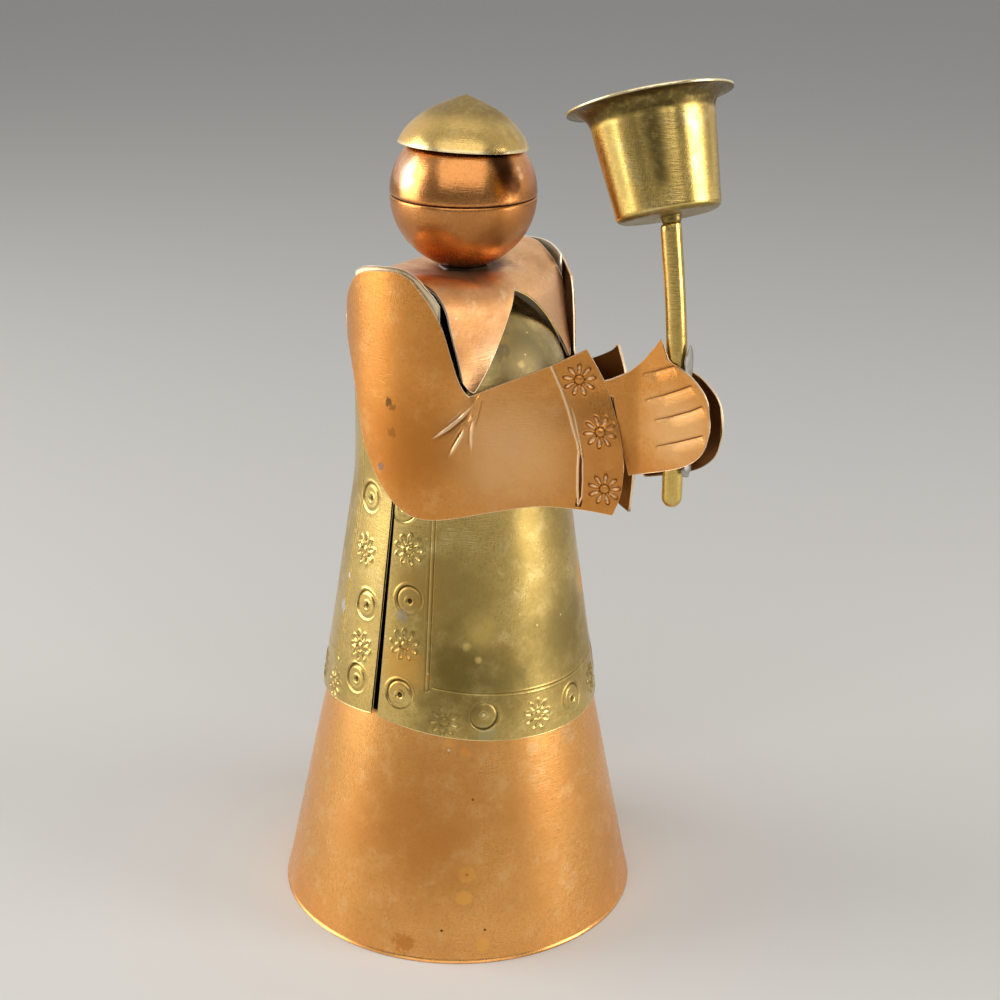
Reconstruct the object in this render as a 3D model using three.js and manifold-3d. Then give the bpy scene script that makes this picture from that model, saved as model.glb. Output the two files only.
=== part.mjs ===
// Angel candle holder: a robed sheet-metal figure in copper and brass that holds a candle cup on a staff.
//
// Millimetres, +Z up, the figure looks along -Y and its right hand is on the -X side.
// The skirt's open rim stands at z = 0. Angles called phi turn round the figure's own upright axis:
// 0 is the front, -90 degrees the figure's right side, +90 degrees its left side.
// Nothing moves: every piece is a bent, domed or turned part that is soldered to the next one.

import * as THREE from 'three';
import { mergeVertices } from 'three/addons/utils/BufferGeometryUtils.js';
import Module from 'manifold-3d';

const wasm = await Module();
wasm.setup();

// Sheets and the clearances between them
const copperSheet = 0.6;
const brassSheet = 0.6;
const solderGap = 0.3; // the thin line of solder between two sheets that are soldered face to face

// Skirt: a cone rolled from one copper sheet, lapped at the back
const skirtBaseRadius = 40;
const skirtTaper = 0.2058; // loss of radius for each millimetre of height
const skirtHeight = 52.8;
const skirtLap = 5; // overlap of the two ends, measured along the rim
const skirtJoggle = 3.5; // length over which the inner end steps in under the outer one

// Coat: a front and a back panel in brass, open at both sides from the hem up to the arms
const coatWaistRadius = 22.85;
const coatWaistHeight = 100.5; // below this the coat flares
const coatWaistSoftness = 4;
const coatFrontHem = 48;
const coatBackHem = 49;
const coatFrontHemRise = 4.2; // how much higher the hem is at the side slits
const coatBackHemRise = 3.2;
const coatHemGap = 0.3; // between the hem and the skirt
const coatDomeRise = 17.5; // waist to the height where the panels dome in towards the neck
const slitHalfWidthTop = 0.4;
const slitHalfWidthHem = 0.85;

// Neck
const neckStudRadius = 3;
const neckStudDepth = 2; // how far the stud reaches down into the coat
const neckSolderRadius = 5.6;
const neckGap = 1.3; // from the collar's middle up to the head

// Head: two copper bowls, and the brass cap
const headRadius = 15.3;
const headSeam = 0.25;
const capRadius = 13.55;
const capDomeHeight = 9.45;
const capFullness = 1.75; // with these two at 2 and 0.5 the dome would be an oval; it is more of a cone
const capSteepness = 0.69;
const capNibHeight = 0.85;
const capNibRadius = 5.8;
const capSeatAngle = 39.3; // the cap's rim lies this many degrees above the head's equator
const capLeanLeft = 4;
const capLeanForward = 0.5;
const capShift = 0.4; // the cap sits this much off the head's middle

// Collar: one copper sheet draped over the shoulders, with two lapels and a notch between them
const collarLift = 2.55; // the collar's middle above the coat's dome
const collarSaddle = 3.6; // how far the sheet dips round the neck
const collarDipAcross = 9; // spread of that dip to the sides and to the front
const collarDipAlong = 8;
const collarHalfWidth = 20.2;
const collarFlat = 1.7; // half-width of the level strip along the crest
const collarBend = 10.5; // radius of the bend over the shoulder
const collarHang = 12.8; // degrees that the lapels lean out from the vertical
const collarBulge = 3.3; // how far the lapels' middle stands out in front of their sides
const collarBackBulge = 5.2;
const collarNotch = 11.4; // crest to notch, along the sheet
const collarTip = 29.7; // crest to lapel tip, along the sheet
const collarTipOffset = 17.8; // lapel tip from the middle
const collarTipRound = 2.6;
const collarBackLength = 21;
const collarTipTaper = 0.9; // the lapels narrow by this much at their tips, to stay inside the sleeves
const collarTaperStart = 16; // crest to where they begin to narrow
const collarTaperLength = 10;
const collarBulgeChange = 16; // stretch over the crest from the back's bulge to the front's
const collarWing = 6; // the stretch over which the sides widen out to the shoulder plates

// Shoulder plates: brass, between the coat and the arms
const plateGap = 0.55; // coat to plate
const plateFootRise = 5.5; // the coat's waist to a plate's lower edge
const plateShow = 1.6; // how far a plate's edge shows beyond the arm's
const plateStart = 13.5; // a plate's ends, as lengths along the arm's sheet
const plateEnd = 37.4;
const shoulderMiddle = 27.8; // highest point of the shoulder, as a length along the arm's sheet

// Arms: sleeve, cuff and hand cut from one copper sheet
const armRise = 1.3; // top of the right arm above the collar's crest
const leftArmDrop = 2; // the left arm is soldered on this much lower
const leftCuffPull = 3.7; // and its cuff is cut this much shorter
const armBackAngle = -150; // where distances along the sheet are counted from
const armMeet = 44; // distance in front of the axis where the cuffs come together
const cuffStandOff = 0.5; // the cuffs' line stays this much outside the hands' line
const rightCuffFlare = 1.9; // how far the cuffs' lower parts bell out
const leftCuffFlare = 0.4;
const cuffFlareLength = 22;

// Staff and candle cup
const staffRadius = 2.05;
const staffFootForward = 53; // staff's lower end, in front of the axis
const staffFootDrop = 44.9; // staff's lower end below the top of the right shoulder
const staffBendForward = 52.4;
const staffBendDrop = 12.3;
const staffTopForward = 49.7;
const staffTopChamfer = 0.4;
const cupFootForward = 49.3;
const cupFootRise = 13.6; // middle of the cup's underside above the top of the right shoulder
const cupSolderDepth = 0.7;
const cupLeanBack = 19.8; // the cup is soldered on askew
const cupLeanLeft = 9;
const cupFootRadius = 10.3;
const cupThroatRadius = 12.05;
const cupFlangeRadius = 16.2;
const cupHeight = 22.6;
const cupThroatHeight = 18;
const cupCorner = 1.5;
const cupFloor = 0.7;
const upperSolderRise = 28.6; // the solder between the hands, above the staff's foot
const upperSolderHalf = { depth: 0.5, height: 6 };
const lowerSolderRise = 8.7;
const lowerSolderHalf = { depth: 0.8, height: 2 };

// Hidden solder
const hemSolderAngle = 32; // degrees that a run behind a hem spans
const hemSolderHeight = 1.6;
const hemSolderFoot = 1.3; // its thickness at the foot and at the top
const hemSolderTop = 0.7;
const seamBeadDepth = 0.8;
const seamBeadHalf = 1.2;

// Derived sizes
const rad = THREE.MathUtils.degToRad;
const lapStep = copperSheet + solderGap;
const coatShoulderHeight = coatWaistHeight + coatDomeRise;
const coatDomeTop = coatShoulderHeight + coatWaistRadius;
const neckHoleRadius = neckStudRadius + solderGap;
const collarNeckHeight = coatDomeTop + collarLift;
const collarCrest = collarNeckHeight + collarSaddle;
const headHeight = collarNeckHeight + neckGap + headRadius;
const plateOuterRadius = coatWaistRadius + plateGap + brassSheet;
const plateInnerRadius = plateOuterRadius - brassSheet;
const plateFoot = coatWaistHeight + plateFootRise;
const armRadius = plateOuterRadius + solderGap + copperSheet;
const armTop = collarCrest + armRise;
const handPlane = staffRadius + solderGap + copperSheet;
const staffFootHeight = armTop - staffFootDrop;
const staffBendHeight = armTop - staffBendDrop;
const cupFootHeight = armTop + cupFootRise;
const skirtRadiusAt = (z) => skirtBaseRadius - skirtTaper * z;

// Colours: satin orange copper, paler and redder copper, olive and bright brass, grey solder
const finish = (color, roughness) => new THREE.MeshStandardMaterial({ color, roughness, metalness: 1 });
const satinCopper = () => finish('#b9783e', 0.36);
const paleCopper = () => finish('#bd8461', 0.42);
const polishedCopper = () => finish('#b4653a', 0.16);
const agedBrass = () => finish('#9c8642', 0.38);
const brightBrass = () => finish('#b0903f', 0.22);
const solder = () => finish('#8f8b84', 0.55);

const clamp01 = (t) => Math.min(1, Math.max(0, t));
const smooth = (t) => clamp01(t) ** 2 * (3 - 2 * clamp01(t));
const mix = THREE.MathUtils.lerp;

// A point at a distance from the figure's axis, at the angle phi and the height z
function around(radius, phi, z) {
  return new THREE.Vector3(radius * Math.sin(phi), -radius * Math.cos(phi), z);
}

// Turns a geometry the right way out: its signed volume is made positive
function outward(geometry) {
  const bare = geometry.index ? geometry.toNonIndexed() : geometry.clone();
  bare.deleteAttribute('normal');
  bare.deleteAttribute('uv');
  const p = bare.attributes.position;
  const [a, b, c] = [new THREE.Vector3(), new THREE.Vector3(), new THREE.Vector3()];
  let volume = 0;
  for (let i = 0; i < p.count; i += 3) {
    a.fromBufferAttribute(p, i);
    b.fromBufferAttribute(p, i + 1);
    c.fromBufferAttribute(p, i + 2);
    volume += a.dot(b.cross(c));
  }
  if (volume < 0) {
    for (let i = 0; i < p.count; i += 3) {
      b.fromBufferAttribute(p, i + 1);
      c.fromBufferAttribute(p, i + 2);
      p.setXYZ(i + 1, c.x, c.y, c.z);
      p.setXYZ(i + 2, b.x, b.y, b.z);
    }
  }
  const merged = mergeVertices(bare, 1e-4);
  merged.computeVertexNormals();
  return merged;
}

// A flat plate of columns x rows, bent so that its grid point (u, v) lands on place(u, v, face):
// face 1 is the plate's outer face and face 0 its inner one
function bentPlate(columns, rows, place) {
  const geometry = new THREE.BoxGeometry(1, 1, 1, columns, rows, 1);
  const p = geometry.attributes.position;
  for (let i = 0; i < p.count; i++) {
    const point = place(p.getX(i) + 0.5, p.getY(i) + 0.5, p.getZ(i) > 0 ? 1 : 0);
    p.setXYZ(i, point.x, point.y, point.z);
  }
  return outward(geometry);
}

// Gives a surface(u, v) a thickness on its inner side, along its own normal
function thickened(surface, thickness, turn) {
  const step = 1e-4;
  return (u, v, face) => {
    const point = surface(u, v);
    if (face === 1) return point;
    const alongU = surface(u + step, v).sub(surface(u - step, v));
    const alongV = surface(u, v + step).sub(surface(u, v - step));
    return point.addScaledVector(alongU.cross(alongV).normalize(), -turn * thickness);
  };
}

// Steps through a list of stops: stops[0] at u = 0, the last stop at u = 1
function stopAt(stops, u) {
  const at = clamp01(u) * (stops.length - 1);
  const i = Math.min(stops.length - 2, Math.floor(at));
  return mix(stops[i], stops[i + 1], at - i);
}

// Evenly spaced stops between a and b, both included
function spread(a, b, count) {
  return Array.from({ length: count + 1 }, (_, i) => mix(a, b, i / count));
}

// Reads the height of a smooth line through [along, height] points at any place along it
function smoothLine(points) {
  const curve = new THREE.SplineCurve(points.map(([x, y]) => new THREE.Vector2(x, y)));
  const samples = curve.getPoints(40 * points.length);
  return (x) => {
    const i = samples.findIndex((sample) => sample.x >= x);
    if (i < 0) return samples[samples.length - 1].y;
    if (i === 0) return samples[0].y;
    const [a, b] = [samples[i - 1], samples[i]];
    return mix(a.y, b.y, (x - a.x) / (b.x - a.x || 1));
  };
}

function toSolid(geometry) {
  const bare = geometry.clone();
  bare.deleteAttribute('normal');
  bare.deleteAttribute('uv');
  const merged = mergeVertices(bare, 1e-4);
  const vertProperties = new Float32Array(merged.attributes.position.array);
  const triVerts = new Uint32Array(merged.index.array);
  return new wasm.Manifold(new wasm.Mesh({ numProp: 3, vertProperties, triVerts }));
}

function toGeometry(manifold) {
  const mesh = manifold.getMesh();
  const geometry = new THREE.BufferGeometry();
  geometry.setAttribute('position', new THREE.BufferAttribute(new Float32Array(mesh.vertProperties), 3));
  geometry.setIndex(new THREE.BufferAttribute(new Uint32Array(mesh.triVerts), 1));
  geometry.computeVertexNormals();
  return geometry;
}

// A turned piece: its profile of [radius, height] points runs from axis to axis, or closes on itself
function turned(profile, sides = 48) {
  const lathe = new THREE.LatheGeometry(profile.map(([r, z]) => new THREE.Vector2(r, z)), sides);
  return outward(lathe.rotateX(Math.PI / 2));
}

// A drop of solder: a ball stretched to its three half-lengths
function solderDrop(center, halfLengths) {
  const ball = new THREE.SphereGeometry(1, 12, 8);
  ball.scale(...halfLengths);
  return outward(ball.translate(...center));
}

// Angles that the skirt's sheet is counted in: it turns from its inner end to its outer end
const fullTurn = 2 * Math.PI;
const lapAngle = skirtLap / skirtBaseRadius;
const joggleAngle = skirtJoggle / skirtBaseRadius;
const lapStart = Math.PI - lapAngle / 2;

// How far the sheet's inner end lies below its outer end, after some turn from the inner end
function skirtStep(turn) {
  return lapStep * (1 - smooth((turn - lapAngle) / joggleAngle));
}

// The cone is one sheet wrapped a little more than once round. The inner end dives under the outer one.
function skirt() {
  return bentPlate(76, 1, (u, v, face) => {
    const turn = u * (fullTurn + lapAngle);
    const z = v * skirtHeight;
    const outer = skirtRadiusAt(z) - skirtStep(turn);
    return around(outer - (face ? 0 : copperSheet), lapStart + turn, z);
  });
}

// A bead of solder up the inside of the lap, in front of the cut edge of the sheet's inner end
function skirtSeamSolder() {
  const rimClearance = 4;
  const beadWidth = 1.6;
  const beadDepth = 0.8;
  return bentPlate(3, 1, (u, v, face) => {
    const z = mix(rimClearance, skirtHeight - rimClearance, v);
    const back = mix(solderGap + beadWidth, solderGap, u) / skirtBaseRadius;
    const outer = skirtRadiusAt(z) - copperSheet - solderGap;
    return around(outer - (face ? 0 : beadDepth * (0.4 + 0.6 * u)), lapStart - back, z);
  });
}

// Rise of the flare below the waist: a straight slope that eases in over the waist's softness
function flareRise(z) {
  const below = coatWaistHeight - z;
  return (Math.hypot(below, coatWaistSoftness) + below) / 2;
}

const coatHemRadius = skirtRadiusAt(coatFrontHem) + coatHemGap + brassSheet;
const coatFlareSlope = (coatHemRadius - coatWaistRadius) / flareRise(coatFrontHem);
const coatRadiusAt = (z) => coatWaistRadius + coatFlareSlope * flareRise(z);

// Half of the side slit's width: widest at the hem, narrow under the arms
function slitHalfWidth(z) {
  const down = clamp01((coatWaistHeight - z) / (coatWaistHeight - coatFrontHem));
  return mix(slitHalfWidthTop, slitHalfWidthHem, down);
}

// One panel reaches from slit to slit. It stands up from the hem and domes in to the neck hole.
function coatPanel(middle, hem, hemRise) {
  const wallRows = 4;
  const rows = 9;
  const domeEnd = Math.acos(neckHoleRadius / coatWaistRadius);
  return bentPlate(24, rows, (u, v, face) => {
    const wall = v * rows / wallRows;
    const quarter = Math.PI / 2;
    const inward = face ? 0 : brassSheet;
    if (wall <= 1) {
      const hemHere = hem + hemRise * (1 - Math.cos((2 * u - 1) * quarter));
      const z = mix(hemHere, coatShoulderHeight, wall);
      const half = quarter - Math.asin(slitHalfWidth(z) / coatRadiusAt(z));
      return around(coatRadiusAt(z) - inward, middle + (2 * u - 1) * half, z);
    }
    const lift = domeEnd * (v * rows - wallRows) / (rows - wallRows);
    const shoulderRadius = coatRadiusAt(coatShoulderHeight) - inward;
    const radius = shoulderRadius * Math.cos(lift);
    const half = quarter - Math.asin(slitHalfWidthTop / (radius + slitHalfWidthTop));
    const z = coatShoulderHeight + shoulderRadius * Math.sin(lift);
    return around(radius, middle + (2 * u - 1) * half, z);
  });
}

// A run of solder behind the hem, on the skirt's top edge
function hemSolder(middle) {
  const halfAngle = rad(hemSolderAngle / 2);
  const z = skirtHeight + solderGap;
  return bentPlate(8, 1, (u, v, face) => {
    const phi = middle + (2 * u - 1) * halfAngle;
    const height = z + v * hemSolderHeight;
    const outer = coatRadiusAt(height) - brassSheet - solderGap;
    return around(outer - (face ? 0 : mix(hemSolderFoot, hemSolderTop, v)), phi, height);
  });
}

// Distance forward and drop of the collar's sheet at the length q from its crest, over the shoulder
function collarDrape(q) {
  const length = Math.abs(q);
  const bendAngle = rad(90 - collarHang);
  const bendLength = collarBend * bendAngle;
  const onBend = Math.min(Math.max(length - collarFlat, 0), bendLength) / collarBend;
  const onHang = Math.max(length - collarFlat - bendLength, 0);
  const flat = Math.min(length, collarFlat);
  const forward = flat + collarBend * Math.sin(onBend) + onHang * Math.sin(rad(collarHang));
  const drop = collarBend * (1 - Math.cos(onBend)) + onHang * Math.cos(rad(collarHang));
  return { forward: Math.sign(q) * forward, drop };
}

// The collar's lower edge, as a length from the crest: notch, straight lapel edge, rounded tip
function collarEdge(x) {
  const out = Math.abs(x);
  if (out <= collarTipOffset) return mix(collarNotch, collarTip, out / collarTipOffset);
  return collarTip - collarTipRound * ((out - collarTipOffset) / (collarHalfWidth - collarTipOffset)) ** 2;
}

// The draped sheet: an arch over the shoulders that bulges at the front and back and dips at the neck
function collarSurface(u, v) {
  const across = 2 * u - 1;
  const front = collarEdge(across * collarHalfWidth);
  const back = collarBackLength - collarTipRound * Math.abs(across) ** 6;
  const q = mix(-back, front, v);
  const { forward, drop } = collarDrape(q);
  const widen = (plateInnerRadius - solderGap - collarHalfWidth) * Math.exp(-((q / collarWing) ** 2));
  const taper = collarTipTaper * smooth((q - collarTaperStart) / collarTaperLength);
  const x = across * (collarHalfWidth + widen - taper);
  const round = 1 - Math.abs(across) ** 2.5;
  const bulge = round * mix(-collarBackBulge, collarBulge, smooth(q / collarBulgeChange + 0.5));
  const y = -(forward + bulge);
  const dip = collarSaddle * Math.exp(-((x / collarDipAcross) ** 2) / 2 - (y / collarDipAlong) ** 2 / 2);
  return new THREE.Vector3(x, y, collarCrest - drop - dip);
}

function collar() {
  const sheet = bentPlate(20, 16, thickened(collarSurface, copperSheet, -1));
  const hole = new THREE.CylinderGeometry(neckHoleRadius, neckHoleRadius, 20, 32).rotateX(Math.PI / 2);
  hole.translate(0, 0, collarNeckHeight);
  return toGeometry(toSolid(sheet).subtract(toSolid(outward(hole))));
}

function neckStud() {
  const low = coatDomeTop - neckStudDepth;
  const high = headHeight - headRadius - solderGap;
  return turned([[0, low], [neckStudRadius, low], [neckStudRadius, high], [0, high]], 32);
}

// The pale ring of solder between the collar and the head
function neckSolder() {
  const inner = neckStudRadius + solderGap;
  const headAt = (r) => headHeight - Math.sqrt(headRadius ** 2 - r ** 2) - solderGap;
  const foot = collarNeckHeight + 0.6;
  const profile = [
    [inner, foot], [neckSolderRadius, foot + 0.55], [neckSolderRadius - 0.3, headAt(neckSolderRadius)],
    [inner, headAt(inner)], [inner, foot],
  ];
  return turned(profile, 40);
}

// One bowl of the head: a half ball, open at the seam. side is -1 for the lower bowl, 1 for the upper.
function headBowl(side) {
  const steps = 8;
  const gap = Math.asin(headSeam / 2 / headRadius);
  const innerRadius = headRadius - copperSheet;
  const innerGap = Math.asin(headSeam / 2 / innerRadius);
  const onBall = (radius, a) => [radius * Math.cos(a), side * radius * Math.sin(a)];
  const arc = (radius, from, to) => spread(from, to, steps).map((a) => onBall(radius, a));
  const outer = arc(headRadius, gap, Math.PI / 2);
  const inner = arc(innerRadius, Math.PI / 2, innerGap);
  outer[steps][0] = 0;
  inner[0][0] = 0;
  return turned([...inner, ...outer, inner[0]], 40).translate(0, 0, headHeight);
}

// The bead of solder behind the seam, inside the head
function headSeamSolder() {
  const outer = headRadius - copperSheet - solderGap;
  const inner = outer - seamBeadDepth;
  const belly = mix(outer, inner, 0.4);
  const profile = [[inner, 0], [belly, -seamBeadHalf], [outer, 0], [belly, seamBeadHalf], [inner, 0]];
  return turned(profile, 40).translate(0, 0, headHeight);
}

// Height of the cap's dome above its rim: a rounded cone with a small nib on top
function capHeightAt(r, radius, dome) {
  const fall = Math.max(0, 1 - (r / radius) ** capFullness);
  return dome * fall ** capSteepness + capNibHeight * clamp01(1 - r / capNibRadius) ** 2;
}

// Places a geometry made round the cap's own axis onto the tilted seat on the head
function onHead(geometry) {
  const lean = new THREE.Vector3(Math.tan(rad(capLeanLeft)), -Math.tan(rad(capLeanForward)), 1);
  lean.normalize();
  const turn = new THREE.Quaternion().setFromUnitVectors(new THREE.Vector3(0, 0, 1), lean);
  const seat = lean.clone().multiplyScalar(headRadius * Math.sin(rad(capSeatAngle)));
  geometry.applyQuaternion(turn);
  return geometry.translate(seat.x - capShift, seat.y + capShift, seat.z + headHeight);
}

function cap() {
  const angles = spread(0, Math.PI / 2, 10);
  const shell = (radius, dome) => angles.map((a) => {
    const r = a === Math.PI / 2 ? 0 : radius * Math.cos(a);
    return [r, capHeightAt(r, radius, dome)];
  });
  const outer = shell(capRadius, capDomeHeight);
  const inner = shell(capRadius - brassSheet, capDomeHeight - brassSheet).reverse();
  return onHead(turned([...inner, ...outer, inner[0]], 40));
}

// The blob of solder that fills the cap's crown above the head
function capSolder() {
  const seat = headRadius * Math.sin(rad(capSeatAngle));
  const low = headRadius + 2 * solderGap - seat;
  const high = capDomeHeight - brassSheet - solderGap;
  return onHead(turned([[0, low], [2, low], [2.8, mix(low, high, 0.5)], [1.8, high], [0, high]], 24));
}

// The arms' sheet seen from above: it hugs the shoulder as an arc, then runs straight to the hands.
// Lengths along it are counted from armBackAngle. The right arm is made, and the left is its mirror image.
const armEnd = new THREE.Vector2(-(handPlane + cuffStandOff), -armMeet);
const armEndAngle = Math.atan2(armEnd.x, -armEnd.y);
const armLeaveAngle = armEndAngle - Math.acos(armRadius / armEnd.length());
const armArcLength = armRadius * (armLeaveAngle - rad(armBackAngle));
const armHeading = new THREE.Vector2(Math.cos(armLeaveAngle), Math.sin(armLeaveAngle));
const armLength = armArcLength + Math.sqrt(armEnd.lengthSq() - armRadius ** 2);

function armPath(s) {
  const phi = Math.min(rad(armBackAngle) + s / armRadius, armLeaveAngle);
  const out = new THREE.Vector2(Math.sin(phi), -Math.cos(phi));
  const point = out.clone().multiplyScalar(armRadius);
  point.addScaledVector(armHeading, Math.max(s - armArcLength, 0));
  return { point, out };
}

// Outline of a sleeve on the flat sheet: [length along the sheet, height below the top of the shoulder].
// The arms differ in the curve down the front of the shoulder, in the drop and in the cuff's length.
const shoulderRise = [
  [9.3, -13.2], [10.1, -9.4], [12.2, -6.2], [15.6, -3], [20.5, -0.9], [shoulderMiddle, 0],
];
const rightShoulderFall = [
  [31.3, -1.2], [33.2, -3.1], [35.4, -5.8], [38.2, -11], [40, -17], [41.6, -21.8], [43.4, -24.5],
];
const leftShoulderFall = [
  [32.4, -0.4], [36.4, -2.3], [39.2, -4.3], [41, -6.1], [42.3, -11], [42.9, -17], [43.4, -22.3],
];
const elbowLength = 43.4;
const cuffCorner = 66.9; // where the forearm's top edge meets the cuff's end
const cuffFootLength = 73.2; // where its lower edge does
const cuffReach = 75.2;

function armOutline(side) {
  const right = side < 0;
  const pull = right ? 0 : leftCuffPull;
  const fall = right ? rightShoulderFall : leftShoulderFall;
  const corner = cuffCorner - pull;
  const foot = cuffFootLength - pull + (right ? 0 : 0.7);
  const footDepth = right ? -47.5 : -49.2;
  const reach = cuffReach - pull;
  const flare = right ? rightCuffFlare : leftCuffFlare;
  const shoulder = smoothLine([...shoulderRise, ...fall]);
  const forearm = smoothLine([fall.at(-1), [49.6, -21.6], [60.1, -16.9], [corner, -13.3 - pull * 0.35]]);
  const cuffEnd = smoothLine([
    [corner, -13.3 - pull * 0.35], [reach - 4.7, -19.6], [reach - 2.8, -24.6], [reach - 1, -30.5],
    [reach, -36.6],
  ]);
  const back = smoothLine([
    [9.3, -14], [10.1, -17.5], [12.7, -21.6], [15.2, -27], [16.8, -33.5], [20, -40.6], [24.6, -46.6],
    [30.5, -50.9], [37.7, -51.3], [50, -48.6], [58.2, -47],
    [67.4 - pull, footDepth + 0.6], [foot, footDepth],
  ]);
  const cuffFoot = smoothLine([
    [foot, footDepth], [reach - 1.1, footDepth + 2.3], [reach - 0.3, -42], [reach, -37.4],
  ]);
  const above = (s) => {
    if (s > corner) return cuffEnd(s);
    return s > elbowLength ? forearm(s) : shoulder(s);
  };
  const below = (s) => (s > foot ? cuffFoot(s) : back(s));
  const top = armTop - (right ? 0 : leftArmDrop);
  return { side, top, pull, flare, corner, reach, above, below };
}

// The cuff bells out towards its end, and only below the hand's root
function cuffBell(flare, along, below) {
  const towardsEnd = smooth((along - armLength + cuffFlareLength) / cuffFlareLength);
  return flare * towardsEnd * smooth((-below - 21) / 12);
}

function sleeve({ top, pull, flare, corner, reach, above, below }) {
  const forearmStops = spread(elbowLength + 2.2, corner - 2.5, 6);
  const stops = [
    ...spread(9.3, 36.6, 13), ...spread(38.4, elbowLength, 5), ...forearmStops, ...spread(corner, reach, 8),
  ];
  return bentPlate(stops.length - 1, 5, (u, v, face) => {
    const s = stopAt(stops, u);
    const depth = mix(below(s), above(s), v);
    const { point, out } = armPath(s);
    point.addScaledVector(out, cuffBell(flare, s + pull, depth) - (face ? 0 : copperSheet));
    return new THREE.Vector3(point.x, point.y, top + depth);
  });
}

// The hand's sheet seen from above: it leaves the cuff in the arm's heading and turns along the staff
const handTurnRadius = 6;
const handTurn = Math.PI / 2 + armLeaveAngle;
const handTurnDepth = handTurnRadius * (1 - Math.cos(handTurn));
const handTurnStart = armMeet - (handTurnDepth - cuffStandOff) / Math.tan(handTurn);

function handPath(forward) {
  if (forward < handTurnStart) {
    const back = (armMeet - forward) / Math.cos(handTurn);
    const point = armEnd.clone().addScaledVector(armHeading, -back);
    return { point, out: new THREE.Vector2(Math.sin(armLeaveAngle), -Math.cos(armLeaveAngle)) };
  }
  const sine = clamp01((handTurnStart + handTurnRadius * Math.sin(handTurn) - forward) / handTurnRadius);
  const angle = Math.asin(sine);
  const x = -(handPlane + handTurnRadius * (1 - Math.cos(angle)));
  const out = new THREE.Vector2(-Math.cos(angle), -Math.sin(angle));
  return { point: new THREE.Vector2(x, -forward), out };
}

// Outline of the hand: [distance in front of the axis, height below the top of the shoulder]
const handWeb = smoothLine([
  [34.6, -22], [38.3, -20.3], [41.3, -19], [44.2, -17.2], [47, -14.3], [49.2, -11.5], [50.4, -9.8],
]);
const handThumb = smoothLine([[50.4, -9.8], [51.4, -12], [52.3, -13.8], [53.4, -14.4]]);
const handFingers = smoothLine([
  [53.4, -14.4], [56.6, -15.6], [59, -17.4], [60.8, -19.4], [61.9, -22.2], [62.2, -25.4],
]);
const handSlit = smoothLine([[41.4, -23.4], [41.8, -25.2], [42.6, -30], [43.6, -35.3], [44.6, -39.3]]);
const handFoot = smoothLine([
  [44.6, -39.3], [50.5, -37.4], [55.8, -35.4], [59.1, -33.3], [61.2, -30.6], [62.2, -26.4],
]);
const handRootWidth = 2.8;

function handInterval(forward) {
  let high = handWeb(forward);
  if (forward > 50.4) high = handThumb(forward);
  if (forward > 53.4) high = handFingers(forward);
  let low = Math.min(-22.8, handWeb(forward) - handRootWidth);
  if (forward > 41.4) low = handSlit(forward);
  if (forward > 44.6) low = handFoot(forward);
  return [low, high];
}

// The hand's root lies inside the cuff's sheet, so there it is a little thinner
function hand({ top, pull }) {
  const stops = [
    ...spread(38.6 - pull, 41.4, 2), ...spread(41.8, 44.6, 4), ...spread(46, 50.4, 4),
    ...spread(51, 53.4, 3), ...spread(55, 59, 3), 60.4, 61.4, 62.2,
  ];
  return bentPlate(stops.length - 1, 5, (u, v, face) => {
    const forward = stopAt(stops, u);
    const [low, high] = handInterval(forward);
    const inset = 0.1 * (1 - smooth((forward - 41.4) / 1.5));
    const { point, out } = handPath(forward);
    point.addScaledVector(out, face ? -inset : inset - copperSheet);
    return new THREE.Vector3(point.x, point.y, top + mix(low, high, v));
  });
}

// Both arms are made as right ones, and the left one is mirrored into place
function mirrored(geometry, side) {
  return side < 0 ? geometry : outward(geometry.scale(-1, 1, 1));
}

function arm(outline) {
  return mirrored(toGeometry(toSolid(sleeve(outline)).add(toSolid(hand(outline)))), outline.side);
}

// A shoulder plate follows the arm's outline round the shoulder and shows a little beyond it
function shoulderPlate({ side, top, above, below }) {
  const reach = 2 * plateShow / (plateEnd - plateStart);
  const sheet = bentPlate(14, 3, (u, v, face) => {
    const s = mix(plateStart, plateEnd, u);
    const onArm = shoulderMiddle + (s - shoulderMiddle) * (1 - reach);
    const phi = rad(armBackAngle) + s / armRadius;
    const high = top + above(onArm) + plateShow * 0.4;
    const low = Math.max(top + below(onArm) + plateShow, plateFoot);
    return around(plateOuterRadius - (face ? 0 : brassSheet), phi, mix(low, high, v));
  });
  return mirrored(sheet, side);
}

// Solder in the corner between the collar's crest and a shoulder plate
function shoulderSolder(side) {
  const halfWidth = 0.7;
  const x = side * (plateInnerRadius - solderGap - halfWidth);
  const halfHeight = 0.6;
  const z = collarCrest - copperSheet - solderGap - halfHeight - 0.2;
  return solderDrop([x, 0, z], [halfWidth, 3.2, halfHeight]);
}

// The staff ends under the cup's solder, and its end is cut parallel to the cup's leaning underside
const cupAxis = new THREE.Vector3(Math.tan(rad(cupLeanLeft)), Math.tan(rad(cupLeanBack)), 1).normalize();
const cupJoint = cupSolderDepth + 2 * solderGap;
const staffTopAhead = staffTopForward - cupFootForward;
const staffTopHeight = cupFootHeight + (staffTopAhead * cupAxis.y - cupJoint) / cupAxis.z;

// The staff's middle line, bent a little backwards above the hands
const staffLine = new THREE.SplineCurve([
  new THREE.Vector2(staffFootForward, staffFootHeight),
  new THREE.Vector2(staffBendForward, staffBendHeight),
  new THREE.Vector2(staffTopForward, staffTopHeight),
]);

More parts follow.
